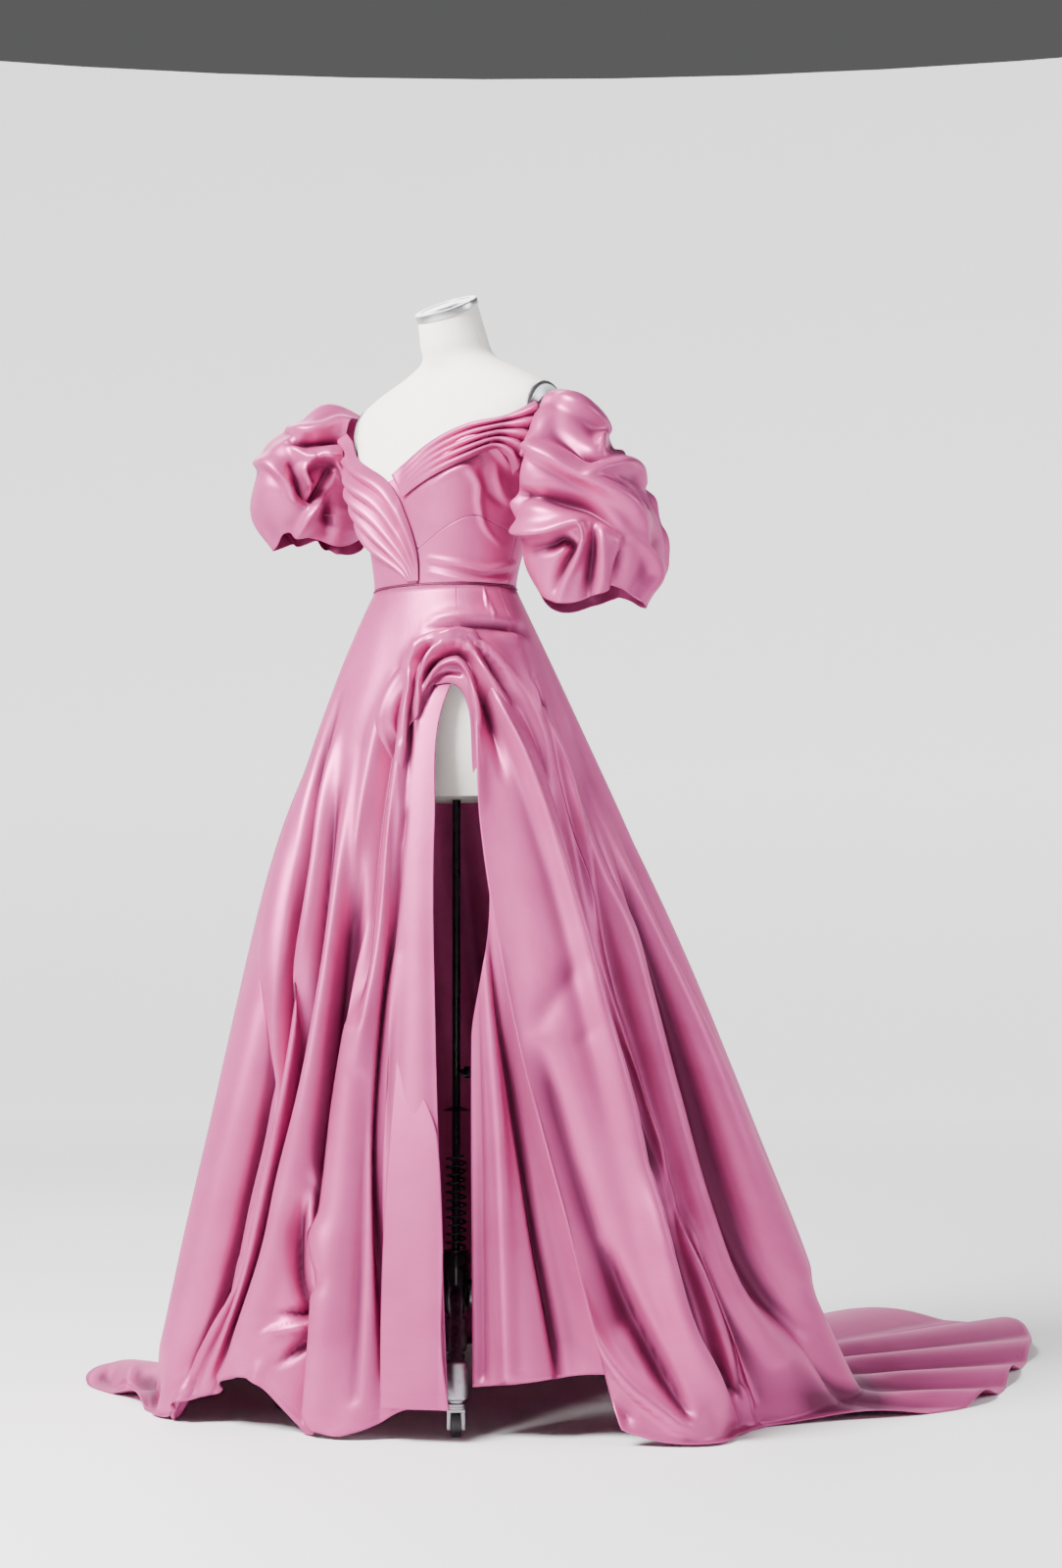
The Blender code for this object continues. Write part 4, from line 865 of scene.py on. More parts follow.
RIGHT_FOLDS = in_metres(
    (0.5, (3623, 975, 200, 0), (3236, 2213, 220, 160), (2926, 3762, 220, 180),
          (2632, 4954, 200, 210), (2323, 6038, 180, 210), (2013, 7261, 160, 210),
          (1703, 8345, 150, 210), (1332, 9506, 140, 180), (960, 10497, 120, 130),
          (650, 11116, 100, 30)),
    (1.0, (960, 11116, 100, 0), (1394, 10342, 120, -160), (1765, 9336, 130, -190),
          (2106, 8175, 140, -220), (2415, 7091, 140, -230), (2694, 5929, 140, -230),
          (2926, 4845, 140, -230), (3128, 3762, 120, -260), (3345, 2833, 100, -130)),
    (1.0, (1285, 11194, 40, 0), (1719, 10187, 40, 50), (1982, 9196, 40, 70), (2214, 8113, 40, 70),
          (2524, 6735, 40, 80), (2803, 5728, 40, 90), (3019, 4799, 50, 100),
          (3221, 3947, 60, 100), (3298, 3344, 60, 30)),
    (1.0, (1719, 10884, 120, 0), (2446, 8809, 150, -130), (3143, 7029, 180, -210),
          (3763, 5031, 200, -260), (4305, 3142, 220, -310), (4831, 1904, 240, -290),
          (5357, 1284, 240, -100)),
    (1.0, (2772, 8809, 180, 0), (3515, 6858, 200, 100), (4165, 5031, 240, 160),
          (4785, 3452, 260, 160), (5404, 2213, 260, 100)),
    (0.8, (2075, 9800, 120, 0), (2539, 8252, 140, 130), (2926, 6549, 160, 160),
          (3345, 4845, 180, 180), (3809, 3142, 200, 210), (4274, 1904, 220, 180),
          (5017, 820, 220, 80)),
    (1.0, (2168, 7199, 160, 0), (1765, 6781, 200, -40), (1455, 6316, 200, -40),
          (1270, 5775, 160, 0)),
    (1.0, (2385, 6053, 120, 0), (2044, 5867, 120, -20), (1688, 5620, 120, 0)),
    (1.0, (1270, 5775, 180, 0), (1455, 5000, 220, -160), (1750, 3916, 240, -210),
          (2168, 2647, 260, -210), (2570, 1439, 240, -130)),
    (0.5, (604, 7323, 100, 0), (728, 6239, 120, 100), (991, 4722, 140, 180),
          (1394, 2987, 160, 260), (1920, 1594, 180, 290), (2632, 433, 180, 260),
          (3468, -264, 160, 160)),
    (1.0, (604, 6084, 60, 0), (805, 4722, 70, -100), (1115, 3173, 80, -160),
          (1579, 1625, 90, -180), (2152, 510, 100, -160), (2694, -109, 100, -80)),
    (1.0, (2307, 2647, 140, 0), (2725, 1516, 160, -290), (3190, 665, 160, -360),
          (3623, -32, 140, -180)),
    (0.8, (2926, 3762, 120, 0), (3128, 2647, 140, 180), (3468, 1362, 150, 260),
          (3855, 510, 150, 260), (4243, -187, 140, 130)),
    (1.0, (3406, 3220, 70, 0), (3592, 2213, 90, -230), (3933, 1160, 100, -260),
          (4366, 355, 100, -160)),
    (0.8, (3530, 3142, 80, 0), (3871, 1981, 110, 190), (4258, 975, 120, 210),
          (4645, 123, 120, 100)),
    (1.0, (1223, 11535, 30, 0), (1270, 11380, 30, -90), (1332, 11194, 30, -110),
          (1394, 11008, 30, 0)),
    (0.5, (1161, 11504, 40, 0), (1208, 11349, 40, 40), (1270, 11163, 40, 40),
          (1332, 10977, 40, 0)),
    (0.5, (434, 12835, 30, 30), (465, 12680, 40, 40), (557, 12572, 40, 40), (588, 12448, 40, 0)),
)
HEM_FOLDS = in_metres(
    (1.0, (-5265, 820, 100, 0), (-5450, 479, 120, -160), (-5605, 123, 120, -180)),
    (1.0, (-4955, 975, 100, 0), (-5110, 433, 130, 140), (-5265, -109, 140, 160)),
    (1.0, (-4645, 665, 80, 0), (-4769, 231, 100, -140), (-4893, -202, 100, -160)),
    (1.0, (-4119, 665, 80, 0), (-4274, 200, 110, 120), (-4366, -264, 120, 140)),
    (1.0, (-3406, 1129, 100, 0), (-3592, 510, 110, -140), (-3716, -109, 120, -180)),
    (1.0, (-3035, 820, 80, 0), (-3159, 355, 100, 120), (-3221, -109, 100, 140)),
)


def far_side(lines, lower, share):
    """Folds like the drawn ones for the side that faces away: mirrored, lower and shallower."""
    return [(steep, [(-right, height - lower, FAR_WIDTH_SHARE * wide, share * rise)
                     for right, height, wide, rise in line]) for steep, line in lines]


SKIRT_FOLDS = ((CAMERA_SIDE, SLIT_FOLDS), (CAMERA_SIDE, LEFT_FOLDS),
               (CAMERA_SIDE, RIGHT_FOLDS), (CAMERA_SIDE, HEM_FOLDS),
               (FAR_SIDE, far_side(LEFT_FOLDS[::2], lower=0.03, share=0.5)),
               (FAR_SIDE, far_side(RIGHT_FOLDS[1:-4:2], lower=-0.04, share=0.45)))
skirt_rows = np.linspace(0, 1, SKIRT_ROWS) ** CLOSER_AT_HEM
skirt_panels = (
    ("skirt_front_left", 0, SIDE_SEAM_LEFT, 48),
    ("skirt_back_left", SIDE_SEAM_LEFT, CENTRE_BACK, 36),
    ("skirt_back_right", CENTRE_BACK, SIDE_SEAM_RIGHT, 30),
    ("skirt_front_right", SIDE_SEAM_RIGHT, len(VALLEYS["rise"]) - 1, 38),
)
for name, first, last, per_fold in skirt_panels:
    marks = fold_marks(first, last, per_fold)
    gore = cloth_shell(name + "_cloth", skirt_point, marks, skirt_rows, SKIRT_FOLDS, hemmed=True)
    dress(gore, name)

# %% [markdown]
# Over the slit the front is caught up in arched folds. Beside it hang a turned-in layer on
# the wearer's left and an outer flap on the wearer's right.

# %% Lay the slit's folds and layers
SLIT_ANGLE = 42.0
ARCH = table(
    "along outer_x outer_z inner_x inner_z",
    (0.00, -0.123, 0.955, -0.079, 0.927),
    (0.15, -0.117, 1.061, -0.075, 1.030),
    (0.30, -0.105, 1.121, -0.058, 1.084),
    (0.42, -0.069, 1.175, -0.043, 1.112),
    (0.50, -0.042, 1.199, -0.028, 1.123),
    (0.58, -0.016, 1.204, -0.009, 1.126),
    (0.68, 0.017, 1.193, 0.009, 1.117),
    (0.80, 0.051, 1.166, 0.022, 1.091),
    (0.90, 0.074, 1.130, 0.029, 1.054),
    (1.00, 0.096, 1.069, 0.033, 0.987),
)
ARCH_FOLDS = 3
ARCH_FADE = 0.3
ARCH_LIFT = 0.0038
ARCH_BULGE = 0.014
ARCH_BULGE_POWER = 0.7
ARCH_FOLD_HEIGHT = 0.0015
SEAM_GAP = 0.0003
FACING_TOP_Z = 0.80
FACING_BOTTOM_Z = 0.075
FACING_EDGE_X = 0.029
FACING_EDGE_DEPTH = 0.045
FACING_HOLLOW = 0.030
FACING_LAP = 0.03
FLAP_TOP_Z = 0.640
FLAP = table(
    "height left_x right_x",
    (0.050, -0.103, -0.009),
    (0.120, -0.104, -0.018),
    (0.290, -0.102, -0.018),
    (0.460, -0.094, -0.029),
    (0.560, -0.088, -0.050),
    (0.640, -0.083, -0.068),
)
FLAP_LIFT = 0.0070
FLAP_FLARE = 0.014
FIRST_RADIUS = 0.2
RADIUS_ROUNDS = 8


def slit_point(across, height, out):
    """A point over the skirt's front, across from the slit's middle plane and moved out."""
    across = np.asarray(across, dtype=float)
    height = np.asarray(height, dtype=float)
    length = np.clip((WAIST_Z - height) / WAIST_Z, 0, 1)
    radius = FIRST_RADIUS + 0 * across
    for _ in range(RADIUS_ROUNDS):
        sine = np.clip(across / radius, -0.95, 0.95)
        angle = SLIT_ANGLE + np.degrees(np.arcsin(sine))
        base = skirt_base(np.where(angle < SKIRT["angle"][0], angle + 360, angle), length)[0]
        radius = np.hypot(base[..., 0], base[..., 1])
    turn = np.radians(angle)
    move = np.stack([out * np.sin(turn), -out * np.cos(turn), 0 * out], axis=-1)
    base[..., 2] = height
    return base + move


def slit_drape(along, part):
    """The arched folds, from the outer arch (part 0) to the inner one (part 1)."""
    across = [smooth(ARCH, side + "_x", "along", along) for side in ("outer", "inner")]
    height = [smooth(ARCH, side + "_z", "along", along) for side in ("outer", "inner")]
    x = across[0] * (1 - part) + across[1] * part
    z = height[0] * (1 - part) + height[1] * part
    bulge = ARCH_BULGE * np.sin(np.pi * np.clip(part, 0, 1)) ** ARCH_BULGE_POWER
    fold = ARCH_FOLD_HEIGHT * (1 - np.cos(2 * np.pi * ARCH_FOLDS * part)) / 2
    fade = ramp(along, -0.1, ARCH_FADE) * ramp(1 - along, -0.1, ARCH_FADE)
    return slit_point(x, z, ARCH_LIFT + (bulge + fold) * fade)


def facing_left(part, down):
    """The hanging inner layer, from behind the slit's edge (part 0) to its free edge."""
    height = FACING_TOP_Z + (FACING_BOTTOM_Z - FACING_TOP_Z) * down
    length = (WAIST_Z - height) / WAIST_Z
    behind = WALL + SEAM_GAP
    turn = math.radians(SLIT_ANGLE)
    inward = np.array([-math.sin(turn), math.cos(turn), 0])
    seam = skirt_point(FACING_LAP + 0 * length, length) + behind * inward
    free = slit_point(FACING_EDGE_X, height, -FACING_EDGE_DEPTH * ramp(down, -0.2, 0.6))
    part = np.asarray(part, dtype=float)[..., None]
    wave = np.sin(2 * np.pi * part) * (1 - part) * ramp(down, 0, 0.5)[..., None]
    return seam * (1 - part) + free * part + FACING_HOLLOW * wave * inward


def flap_right(part, down):
    """The outer flap of the right front panel beside the slit."""
    height = FLAP_TOP_Z + (FLAP["height"][0] - FLAP_TOP_Z) * down
    left = smooth(FLAP, "left_x", "height", height)
    right = smooth(FLAP, "right_x", "height", height)
    return slit_point(left + (right - left) * part, height, FLAP_LIFT + FLAP_FLARE * down)


INNER_EXTRA = 0.45
inner_arches = [(steep, [(*place, INNER_EXTRA * rise) for *place, rise in line])
                for steep, line in SLIT_FOLDS[2:7]]
ARCH_CREASES = ((CAMERA_SIDE, SLIT_FOLDS), (CAMERA_SIDE, inner_arches))
FACING_FOLDS = in_metres(
    (0.6, (526, 7323, 40, 0), (650, 6084, 50, -80), (836, 5000, 60, -140), (1022, 3916, 70, -180),
          (1223, 2678, 80, -200), (1455, 1439, 90, -200), (1641, 355, 90, -160)),
    (1.0, (465, 7013, 60, 20), (557, 5775, 80, 80), (681, 4226, 100, 120), (774, 2368, 120, 140),
          (836, 510, 120, 120)),
    (1.0, (341, 6704, 40, 0), (372, 4845, 50, -40), (403, 2678, 60, -60), (418, 510, 60, -60)),
)
FACING_CREASES = ((CAMERA_SIDE, FACING_FOLDS),)
FLAP_CREASES = ((CAMERA_SIDE, RIGHT_FOLDS),)
ARCH_TUCK = 0.016
FLAP_TUCK = 0.011


def pushed_in(points, depth):
    """Points moved towards the pole."""
    radius = np.hypot(points[..., 0], points[..., 1])
    nearer = 1 - depth / radius
    return points * np.stack([nearer, nearer, 1 + 0 * radius], axis=-1)


def tucked_arches(along, part):
    """The arched folds, with both ends tucked under the skirt."""
    shown = ramp(along, 0.02, 0.20) * ramp(1 - along, 0.02, 0.20)
    return pushed_in(slit_drape(along, part), ARCH_TUCK * (1 - shown))


def tapered_facing(part, down):
    """The inner layer, which narrows to nothing where it slips behind the panel above."""
    return facing_left(part * ramp(down, -0.03, 0.30), down)


def tucked_flap(part, down):
    """The outer flap, narrowing at its upper end to where it tucks under the panel."""
    shown = ramp(down, -0.02, 0.5)
    return pushed_in(flap_right(part * ramp(down, -0.02, 0.34), down), FLAP_TUCK * (1 - shown))


arches = cloth_shell("slit_arches_cloth", tucked_arches, even(111), even(101), ARCH_CREASES)
dress(arches, "slit_drape")
facing = cloth_shell("slit_facing_left_cloth", tapered_facing, even(44), even(130),
                     FACING_CREASES, hemmed=True)
dress(facing, "slit_facing_left")
flap = cloth_shell("slit_flap_right_cloth", tucked_flap, even(36), even(130), FLAP_CREASES,
                   hemmed=True)
dress(flap, "slit_flap_right")

# %% [markdown]
# The bodice is fitted: a front on the wearer's right that runs under the wrap, a cup with a
# seam below it, a smooth midriff and two back halves.

# %% Lay the fitted bodice
BODICE_EASE = 0.0043
SEAM_ANGLE = 0.15
WRAP_ANGLE = 0.7
SIDE_ANGLE = 95
WRAP_EDGE = table(
    "height angle",
    (1.280, 12.9),
    (1.338, 12.2),
    (1.390, 3.5),
    (1.440, -6.0),
    (1.460, -9.0),
)
BODICE_TOP = table(
    "angle height",
    (-95, 1.462),
    (-75, 1.500),
    (-50, 1.500),
    (-25, 1.470),
    (-9, 1.446),
    (10, 1.490),
    (25, 1.512),
    (50, 1.520),
    (75, 1.500),
    (95, 1.462),
    (130, 1.486),
    (180, 1.496),
    (230, 1.486),
    (265, 1.462),
)
UNDERBUST = table(
    "angle height",
    (11, 1.336),
    (19, 1.348),
    (35, 1.372),
    (50, 1.387),
    (75, 1.374),
    (95, 1.364),
)


def bodice_panel(low_angle, high_angle, low_height, high_height):
    """A fitted panel between two edges (angles by height) and two ends (heights by angle)."""
    def surface(u, v):
        part = 1 - u
        angle = low_angle(BODICE_Z) + (high_angle(BODICE_Z) - low_angle(BODICE_Z)) * part
        height = low_height(angle) + (high_height(angle) - low_height(angle)) * (1 - v)
        angle = low_angle(height) + (high_angle(height) - low_angle(height)) * part
        height = low_height(angle) + (high_height(angle) - low_height(angle)) * (1 - v)
        return body_point(angle, height, BODICE_EASE)
    return surface


def steady(value):
    """A curve that has one value everywhere."""
    return lambda at: value + 0 * at


def top_edge(angle):
    """Height of the bodice's upper edge."""
    return smooth(BODICE_TOP, "height", "angle", angle)


def underbust(angle):
    """Height of the seam under the cup."""
    return smooth(UNDERBUST, "height", "angle", angle)


def wrap_edge(height):
    """Angle of the wrap's edge."""
    return smooth(WRAP_EDGE, "angle", "height", height)


BUST_FOLDS = in_metres(
    (0.7, (-434, 14817, 50, 20), (-124, 15065, 60, 60), (139, 15266, 70, 90),
          (372, 15313, 70, 100), (619, 15142, 80, 100), (836, 14879, 80, 70),
          (1053, 14724, 80, 30)),
    (1.0, (-403, 14693, 40, -10), (-93, 14941, 40, -20), (155, 15096, 50, -30),
          (341, 15034, 50, -30), (403, 14786, 50, -30), (495, 14445, 60, -30),
          (712, 14260, 60, -20)),
    (0.7, (-403, 14538, 50, 20), (-93, 14755, 60, 60), (139, 14833, 60, 80), (310, 14631, 60, 80),
          (341, 14244, 60, 70), (449, 13873, 60, 40), (712, 13578, 60, 10)),
    (1.0, (604, 14910, 60, 20), (650, 14600, 70, 60), (774, 14353, 70, 60), (991, 14260, 70, 20)),
    (1.0, (-434, 13393, 40, 10), (0, 13315, 50, 40), (465, 13222, 50, 50), (898, 13300, 50, 40)),
    (1.0, (-403, 13284, 40, -10), (31, 13191, 40, -30), (480, 13114, 40, -30),
          (883, 13176, 40, -20)),
    (1.0, (-403, 13160, 40, 10), (31, 13067, 40, 40), (480, 13005, 40, 40), (867, 13052, 40, 20)),
)
BODICE_CREASES = ((CAMERA_SIDE, BUST_FOLDS),)
bodice_floor = steady(BODICE_Z)
bodice_cuts = (
    ("bodice_front_right", steady(-SIDE_ANGLE + SEAM_ANGLE), lambda h: wrap_edge(h) - WRAP_ANGLE,
     bodice_floor, top_edge),
    ("bodice_midriff", lambda h: wrap_edge(h) + SEAM_ANGLE, steady(SIDE_ANGLE - SEAM_ANGLE),
     bodice_floor, lambda a: underbust(a) - 2 * SEAM_GAP),
    ("bodice_cup_left", lambda h: wrap_edge(h) + SEAM_ANGLE, steady(SIDE_ANGLE - SEAM_ANGLE),
     underbust, top_edge),
    ("bodice_back_left", steady(SIDE_ANGLE + SEAM_ANGLE), steady(180 - SEAM_ANGLE),
     bodice_floor, top_edge),
    ("bodice_back_right", steady(180 + SEAM_ANGLE), steady(360 - SIDE_ANGLE - SEAM_ANGLE),
     bodice_floor, top_edge),
)
for name, low_angle, high_angle, low_height, high_height in bodice_cuts:
    surface = bodice_panel(low_angle, high_angle, low_height, high_height)
    piece = cloth_shell(name + "_cloth", surface, even(56), even(56), BODICE_CREASES)
    dress(piece, name)

# %% [markdown]
# Two pleated bands cross the bodice. The one on the wearer's right starts as a tight fan at
# the waist and spreads to the shoulder. The one on the left arches over the bust.

# %% Lay the pleated bands
DRAPE_RIGHT = table(
    "along inner_angle inner_z outer_angle outer_z",
    (0.00, 14.0, 1.2890, 4.0, 1.2890),
    (0.15, 13.0, 1.325, -5.0, 1.306),
    (0.35, 5.5, 1.385, -18.0, 1.324),
    (0.55, -6.0, 1.447, -36.0, 1.346),
    (0.70, -18.0, 1.474, -52.0, 1.376),
    (0.85, -38.0, 1.508, -66.0, 1.406),
    (1.00, -60.0, 1.552, -74.0, 1.430),
)
DRAPE_LEFT = table(
    "along inner_angle inner_z outer_angle outer_z",
    (0.00, -4.5, 1.458, 3.0, 1.420),
    (0.20, 10.0, 1.506, 19.0, 1.442),
    (0.40, 26.0, 1.530, 36.0, 1.466),
    (0.60, 45.0, 1.538, 50.0, 1.486),
    (0.80, 56.0, 1.547, 62.0, 1.476),
    (1.00, 67.0, 1.562, 74.0, 1.450),
)
DRAPE_EASE = {1: 0.0080, -1: 0.0088}
DRAPE_PLEATS = 5
DRAPE_PLEAT_HEIGHT = 0.012
SHOULDER_EASE = 0.0132


def drape(rows, side):
    """A pleated band over the bodice, from its inner edge (part 0) to its outer edge."""
    def surface(u, v):
        part = u if side > 0 else 1 - u
        angle = (smooth(rows, "inner_angle", "along", v) * (1 - part)
                 + smooth(rows, "outer_angle", "along", v) * part)
        height = (smooth(rows, "inner_z", "along", v) * (1 - part)
                  + smooth(rows, "outer_z", "along", v) * part)
        pleat = ((1 - np.cos(2 * np.pi * DRAPE_PLEATS * part)) / 2) ** 0.6
        out = DRAPE_EASE[side] + DRAPE_PLEAT_HEIGHT * pleat * ramp(v, 0, 0.5)
        out = out + SHOULDER_EASE * ramp(np.abs(angle), 50, 66) * ramp(height, 1.42, 1.50)
        return body_point(angle, height, out)
    return surface


for name, rows, side in (("drape_right", DRAPE_RIGHT, 1), ("drape_left", DRAPE_LEFT, -1)):
    band = cloth_shell(name + "_cloth", drape(rows, side), even(141), even(91))
    dress(band, name)

# %% [markdown]
# Each sleeve is one large tube of satin, swagged by hand and left open at the cuff. Its tiers
# are kept low here, because the drawn folds say where the swags really run.

# %% Lay the sleeves
SLEEVE_LEFT = table(
    "along x y z fall wide deep",
    (0.00, 0.203, 0.000, 1.512, 12, 0.062, 0.060),
    (0.25, 0.232, -0.008, 1.492, 28, 0.066, 0.080),
    (0.42, 0.244, -0.016, 1.448, 45, 0.074, 0.100),
    (0.62, 0.266, -0.014, 1.400, 62, 0.094, 0.106),
    (0.84, 0.279, -0.004, 1.316, 80, 0.104, 0.102),
    (1.00, 0.278, 0.000, 1.250, 90, 0.080, 0.080),
)
SLEEVE_RIGHT = table(
    "along x y z fall wide deep",
    (0.00, -0.1925, 0.000, 1.520, 8, 0.062, 0.060),
    (0.22, -0.234, -0.012, 1.534, 15, 0.074, 0.082),
    (0.42, -0.262, -0.026, 1.510, 32, 0.080, 0.102),
    (0.66, -0.292, -0.028, 1.470, 60, 0.094, 0.110),
    (0.86, -0.300, -0.020, 1.420, 80, 0.090, 0.100),
    (1.00, -0.296, -0.012, 1.385, 90, 0.070, 0.078),
)
SLEEVE_TIERS = 3.2
SLEEVE_SLANT = 0.5
SLEEVE_PHASE = 0.2
SLEEVE_TIER_HEIGHT = 0.008
SLEEVE_GATHERS = 5
SLEEVE_GATHER_HEIGHT = 0.006
SLEEVE_GATHER_TURN = 3
SLEEVE_TIER_SINK = 0.4
SLEEVE_GROWS_TO = 0.32
SLEEVE_TOP_SHARE = 0.4
CUFF_RIPPLE = 0.011


def sleeve(rows, side):
    """A puffed sleeve: a tube round its falling middle line, in slanting tiers, whose cuff
    dips and rises as loose cloth does."""
    def surface(u, v):
        turn = 2 * np.pi * u
        fall = np.radians(smooth(rows, "fall", "along", v))
        wide = smooth(rows, "wide", "along", v)
        deep = smooth(rows, "deep", "along", v)
        tier = SLEEVE_TIERS * v - SLEEVE_SLANT * np.cos(turn) + SLEEVE_PHASE
        gather = SLEEVE_GATHER_HEIGHT * np.cos(SLEEVE_GATHERS * turn + SLEEVE_GATHER_TURN * v)
        swag = (1 - np.cos(2 * np.pi * tier)) / 2 - SLEEVE_TIER_SINK
        above = 1 + SLEEVE_TOP_SHARE * (np.cos(turn) - 1)
        rise = (SLEEVE_TIER_HEIGHT * swag + gather) * ramp(v, 0, SLEEVE_GROWS_TO) * above
        up = (wide + rise) * np.cos(turn)
        y = smooth(rows, "y", "along", v) + (deep + rise) * np.sin(turn)
        x = smooth(rows, "x", "along", v) + side * up * np.sin(fall)
        ripple = CUFF_RIPPLE * np.cos(6 * np.pi * u + side) * ramp(v, 0.5, 1)
        z = smooth(rows, "z", "along", v) + up * np.cos(fall) + ripple
        return np.stack([x, y, z], axis=-1)
    return surface


SLEEVE_LEFT_FOLDS = in_metres(
    (0.25, (991, 15375, 200, 0), (1223, 15034, 220, 200), (1455, 14910, 240, 260),
          (1765, 14755, 240, 280), (2075, 14600, 240, 280), (2415, 14399, 240, 260),
          (2694, 14182, 220, 240), (2880, 13904, 200, 160), (3004, 13640, 180, 0)),
    (1.0, (836, 14368, 120, -100), (1146, 14399, 120, -220), (1455, 14399, 130, -280),
          (1765, 14322, 130, -280), (2075, 14213, 120, -260), (2385, 14012, 120, -180),
          (2694, 13749, 100, -80)),
    (0.4, (1223, 15932, 160, 40), (1610, 15932, 180, 120), (1982, 15746, 180, 180),
          (2199, 15467, 140, 220), (2261, 15251, 100, 180)),
    (1.0, (1455, 15375, 100, 0), (1843, 15189, 100, -140), (2106, 15034, 100, -220),
          (2415, 14972, 100, -100)),
    (0.8, (2044, 14662, 100, 0), (2261, 14786, 120, 140), (2570, 14879, 120, 180),
          (2818, 14786, 120, 160), (2942, 14600, 100, 80)),
    (1.0, (2230, 14693, 60, 0), (2539, 14569, 60, -100), (2818, 14368, 60, -100),
          (3004, 14136, 60, 0)),
    (0.6, (526, 14445, 100, 40), (681, 14058, 120, 140), (991, 13857, 140, 200),
          (1378, 13826, 120, 180), (1734, 13919, 100, 180), (1951, 13950, 70, 200),
          (2028, 13749, 60, 200), (1920, 13439, 70, 160), (1734, 13052, 80, 100),
          (1610, 12711, 100, 40)),
    (1.0, (1223, 13516, 100, -80), (1486, 13578, 100, -180), (1703, 13671, 90, -220),
          (1827, 13578, 80, -200), (1703, 13284, 90, -140), (1548, 12928, 100, -60)),
    (1.0, (2137, 13904, 100, -100), (2137, 13516, 100, -180), (2106, 13129, 100, -140),
          (2075, 12804, 100, -80)),
    (0.8, (2292, 13826, 100, 40), (2323, 13362, 120, 120), (2261, 12897, 120, 120),
          (2168, 12665, 100, 60)),
    (1.0, (2694, 13640, 80, -60), (2601, 13284, 90, -160), (2539, 12897, 90, -160),
          (2508, 12649, 80, -80)),
    (0.7, (2849, 13749, 100, 40), (3035, 13485, 120, 140), (3128, 13207, 120, 180),
          (2942, 12851, 120, 120), (2787, 12618, 100, 80)),
)
SLEEVE_RIGHT_FOLDS = in_metres(
    (0.4, (-2725, 15436, 100, 40), (-2493, 15375, 120, 140), (-2183, 15405, 120, 180),
          (-1874, 15498, 120, 180), (-1564, 15421, 120, 140)),
    (1.0, (-2632, 15220, 70, -100), (-2261, 15204, 70, -180), (-1874, 15282, 70, -180),
          (-1579, 15189, 70, -120)),
    (0.5, (-2648, 15173, 100, 60), (-2415, 14972, 140, 180), (-2075, 15018, 140, 200),
          (-1765, 14972, 120, 180), (-1548, 14755, 120, 120)),
    (0.6, (-2354, 14569, 80, 120), (-2446, 14786, 90, 180), (-2292, 14956, 90, 120),
          (-2044, 15049, 90, 120), (-1858, 14879, 90, 140), (-1703, 14569, 90, 120)),
    (1.0, (-2632, 14848, 90, -100), (-2477, 14445, 90, -260), (-2354, 14291, 90, -280),
          (-2168, 14445, 90, -240), (-2044, 14755, 80, -160)),
    (0.6, (-3159, 14879, 120, 100), (-2957, 14879, 120, 160), (-2756, 14662, 110, 180),
          (-2570, 14353, 100, 160), (-2400, 14229, 80, 120)),
    (0.7, (-1982, 14786, 80, 100), (-2137, 14384, 100, 160), (-2385, 13981, 120, 180),
          (-2601, 13640, 120, 120)),
    (1.0, (-2044, 14445, 120, -100), (-2044, 14058, 140, -160), (-2075, 13749, 140, -80)),
)
SLEEVE_CREASES = dict(
    sleeve_right=((CAMERA_SIDE, SLEEVE_RIGHT_FOLDS),
                  (FAR_SIDE, far_side(SLEEVE_RIGHT_FOLDS, lower=0.025, share=0.75))),
    sleeve_left=((CAMERA_SIDE, SLEEVE_LEFT_FOLDS),
                 (FAR_SIDE, far_side(SLEEVE_LEFT_FOLDS, lower=0.020, share=0.75))))
SLEEVE_COLUMNS = 190
round_steps = np.arange(SLEEVE_COLUMNS) / SLEEVE_COLUMNS
for name, rows, side in (("sleeve_left", SLEEVE_LEFT, 1), ("sleeve_right", SLEEVE_RIGHT, -1)):
    puff = cloth_shell(name + "_cloth", sleeve(rows, side), round_steps, even(150),
                       SLEEVE_CREASES[name], closed=True, hemmed=True)
    dress(puff, name)

# %% [markdown]
# The form and its stand are hard pieces, so they are modelled as they would be by hand: a
# circle drawn out step by step into a turned shape, a cube with its edges bevelled. Each
# finish uses the object's own coordinates, so nothing slides when a castor turns.

# %% Make the form's and the stand's finishes
SHINIEST, DULLEST = 0.8, 1.25
GRAIN_FINENESS = 14


def grained_finish(name, colour, other, roughness, metallic, scale, stretch, grain):
    """A finish whose colour, shine and fine grain vary over the object."""
    finish, tree, shader = new_finish(name, colour, roughness, metallic)
    places = wired(tree, "TexCoord", {}, "Object")
    cloudy = noise(tree, places, scale, 4.0, stretch)
    tree.links.new(blend_colours(tree, cloudy, other, colour), shader.inputs["Base Color"])
    shine = wired(tree, "MapRange", {"To Min": roughness * SHINIEST, "Value": cloudy,
                                     "To Max": roughness * DULLEST}, "Result")
    tree.links.new(shine, shader.inputs["Roughness"])
    fine = noise(tree, places, scale * GRAIN_FINENESS, 3.0, stretch)
    tree.links.new(bump(tree, fine, grain, 0.5), shader.inputs["Normal"])
    return finish


